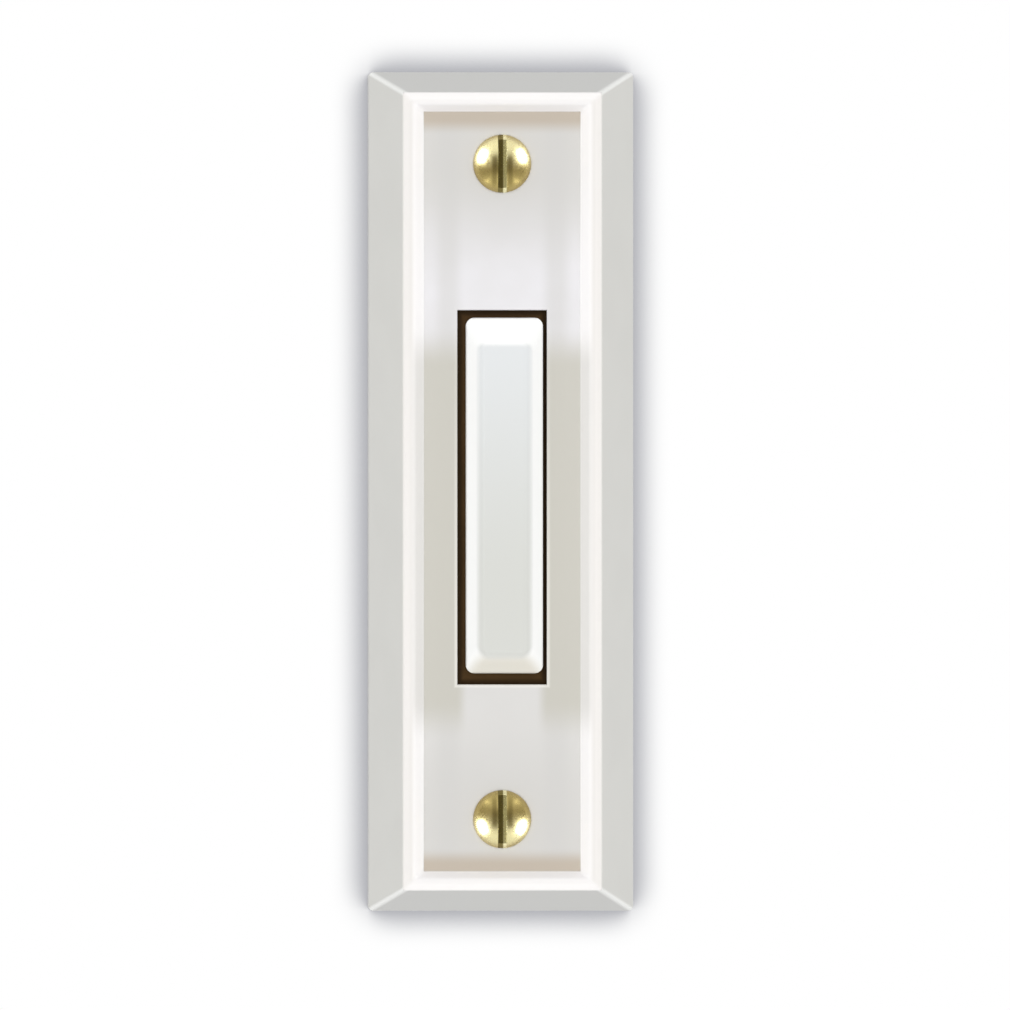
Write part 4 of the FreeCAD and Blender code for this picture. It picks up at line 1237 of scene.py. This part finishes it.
def build_lights(sizes, height):
    """The front softbox, and four cards that only the mounting screws reflect."""
    front = softbox("front", (0, -1.3, 0), (0, 0, 0), 1.1, sizes.key)
    front.visible_glossy = False
    mirrors = bpy.data.collections.new("screws that mirror the cards")
    for name in ("mounting_screw_upper_dressed", "mounting_screw_lower_dressed"):
        mirrors.objects.link(bpy.data.objects[name])
    aside, forward, beyond, size, angle = 60 * MM, 26 * MM, 23 * MM, 38 * MM, radians(64)
    for end in (1, -1):
        for side in (1, -1):
            where = (side * aside, -forward, end * (height + beyond))
            card = softbox("card", where, (0, HOUSING_LOW.y, end * height), size, sizes.card)
            card.data.spread = angle
            card.visible_diffuse = card.visible_camera = False
            card.light_linking.receiver_collection = mirrors


def mix_shaders(tree, factor, first, second):
    """One shader where the factor is nought, the other where it is one."""
    node = tree.nodes.new("ShaderNodeMixShader")
    for index, value in enumerate((factor, first, second)):
        tree.links.new(value, node.inputs[index])
    return node.outputs[0]


def put_out(tree, kind, result):
    """Makes a shader the surface of a world or of a material."""
    tree.links.new(result, tree.nodes.new(kind).inputs["Surface"])


def build_world(sizes):
    """Even light from all round. Reflections show a dimmer, warmer room with a dark patch in front."""
    world = bpy.data.worlds.new("studio")
    bpy.context.scene.world = world
    world.use_nodes = True
    tree = world.node_tree
    tree.nodes.clear()
    _, ahead, up = axes(tree, tree.nodes.new("ShaderNodeTexCoord").outputs["Generated"])
    above = step(tree, maths(tree, "ABSOLUTE", up), 0.35, 0.8)
    in_front = step(tree, maths(tree, "MULTIPLY", ahead, -1.0), 0.8, 0.96)
    room = blend_colours(tree, above, (0.5, 0.475, 0.42), (1.0, 1.0, 0.96))
    room = blend_colours(tree, in_front, room, (0.28, 0.26, 0.18))
    mirrored = node_of(tree, "ShaderNodeBackground", Strength=sizes.room)
    tree.links.new(room, mirrored.inputs["Color"])
    plain = node_of(tree, "ShaderNodeBackground", Color=WHITE, Strength=sizes.ambient)
    white = node_of(tree, "ShaderNodeBackground", Color=WHITE, Strength=1.0)
    ray = tree.nodes.new("ShaderNodeLightPath").outputs
    seen = maths(tree, "MAXIMUM", ray["Is Glossy Ray"], ray["Is Transmission Ray"])
    light = mix_shaders(tree, seen, plain.outputs[0], mirrored.outputs[0])
    put_out(tree, "ShaderNodeOutputWorld", mix_shaders(tree, ray["Is Camera Ray"], light, white.outputs[0]))


def build_wall(sizes):
    """A white wall behind the push button that keeps its contact shadow, seen only from the front."""
    deselect()
    bpy.ops.mesh.primitive_plane_add(size=3.0, location=(0, 0.05 * MM, 0), rotation=(pi / 2, 0, 0))
    wall = settle("studio_wall")
    made = bpy.data.materials.new("studio wall")
    made.use_nodes = True
    tree = made.node_tree
    tree.nodes.clear()
    covered = node_of(tree, "ShaderNodeAmbientOcclusion", Distance=sizes.halo)
    covered.samples = 24
    open_share = step(tree, covered.outputs["AO"], 0.42, 0.98)
    glow = node_of(tree, "ShaderNodeEmission", Strength=1.0)
    tint = blend_colours(tree, open_share, (0.42, 0.425, 0.455), (1.0, 1.0, 1.0))
    tree.links.new(tint, glow.inputs["Color"])
    clear = tree.nodes.new("ShaderNodeBsdfTransparent")
    ray = tree.nodes.new("ShaderNodeLightPath").outputs
    seen = maths(tree, "MAXIMUM", ray["Is Camera Ray"], ray["Is Glossy Ray"])
    seen = maths(tree, "MAXIMUM", seen, ray["Is Transmission Ray"])
    behind = tree.nodes.new("ShaderNodeNewGeometry").outputs["Backfacing"]
    shown = product(tree, seen, maths(tree, "SUBTRACT", 1.0, behind))
    put_out(tree, "ShaderNodeOutputMaterial", mix_shaders(tree, shown, clear.outputs[0], glow.outputs[0]))
    dress(wall, made)


def build_camera(sizes):
    """A long lens, nearly straight on."""
    camera = bpy.data.cameras.new("camera")
    camera.lens, camera.sensor_width = sizes.lens, 36.0
    camera.clip_start, camera.clip_end = 0.05, 10.0
    obj = bpy.data.objects.new("camera", camera)
    bpy.context.collection.objects.link(obj)
    target = Vector((sizes.aim_x, 0, sizes.aim_z))
    obj.location = target + Vector((-sin(sizes.turn), -cos(sizes.turn), 0)) * sizes.distance
    obj.rotation_euler = (target - obj.location).to_track_quat("-Z", "Y").to_euler()
    bpy.context.scene.camera = obj


class PUSHBUTTON_OT_stage(bpy.types.Operator):
    """Set up the wall, the soft studio light, the background and the camera"""
    bl_idname = "pushbutton.stage"
    bl_label = "Studio"

    def execute(self, context):
        sizes = context.scene.push_stage
        build_wall(sizes)
        build_world(sizes)
        build_lights(sizes, context.scene.push_screws.spacing / 2)
        build_camera(sizes)
        context.scene.view_settings.view_transform = "Standard"
        return {"FINISHED"}


class PUSHBUTTON_PT_panel(bpy.types.Panel):
    """Lists the pieces in the order in which they are made"""
    bl_idname = "PUSHBUTTON_PT_panel"
    bl_label = "Push button"
    bl_space_type = "VIEW_3D"
    bl_region_type = "UI"
    bl_category = "Push button"

    def draw(self, context):
        for operator in OPERATORS:
            self.layout.operator(operator.bl_idname)


SETTINGS = {
    "push_housing": HousingSettings, "push_bar": BarSettings, "push_screws": ScrewSettings,
    "push_inside": InsideSettings, "push_stage": StageSettings,
}
OPERATORS = (
    PUSHBUTTON_OT_housing, PUSHBUTTON_OT_bar, PUSHBUTTON_OT_mounting_screws, PUSHBUTTON_OT_terminal_screws,
    PUSHBUTTON_OT_springs, PUSHBUTTON_OT_leaf, PUSHBUTTON_OT_finishes, PUSHBUTTON_OT_stage,
)


def register():
    """Registers the settings, the operators and the panel."""
    for name, settings in SETTINGS.items():
        bpy.utils.register_class(settings)
        setattr(bpy.types.Scene, name, bpy.props.PointerProperty(type=settings))
    for operator in OPERATORS:
        bpy.utils.register_class(operator)
    bpy.utils.register_class(PUSHBUTTON_PT_panel)


def unregister():
    """Takes them away again."""
    bpy.utils.unregister_class(PUSHBUTTON_PT_panel)
    for operator in reversed(OPERATORS):
        bpy.utils.unregister_class(operator)
    for name, settings in reversed(SETTINGS.items()):
        delattr(bpy.types.Scene, name)
        bpy.utils.unregister_class(settings)


def main():
    """Makes every piece."""
    register()
    bpy.ops.pushbutton.housing()
    bpy.ops.pushbutton.bar()
    bpy.ops.pushbutton.mounting_screws()
    bpy.ops.pushbutton.terminal_screws()
    bpy.ops.pushbutton.springs()
    bpy.ops.pushbutton.leaf()
    bpy.ops.pushbutton.finishes()
    bpy.ops.pushbutton.stage()


if __name__ == "__main__":
    main()
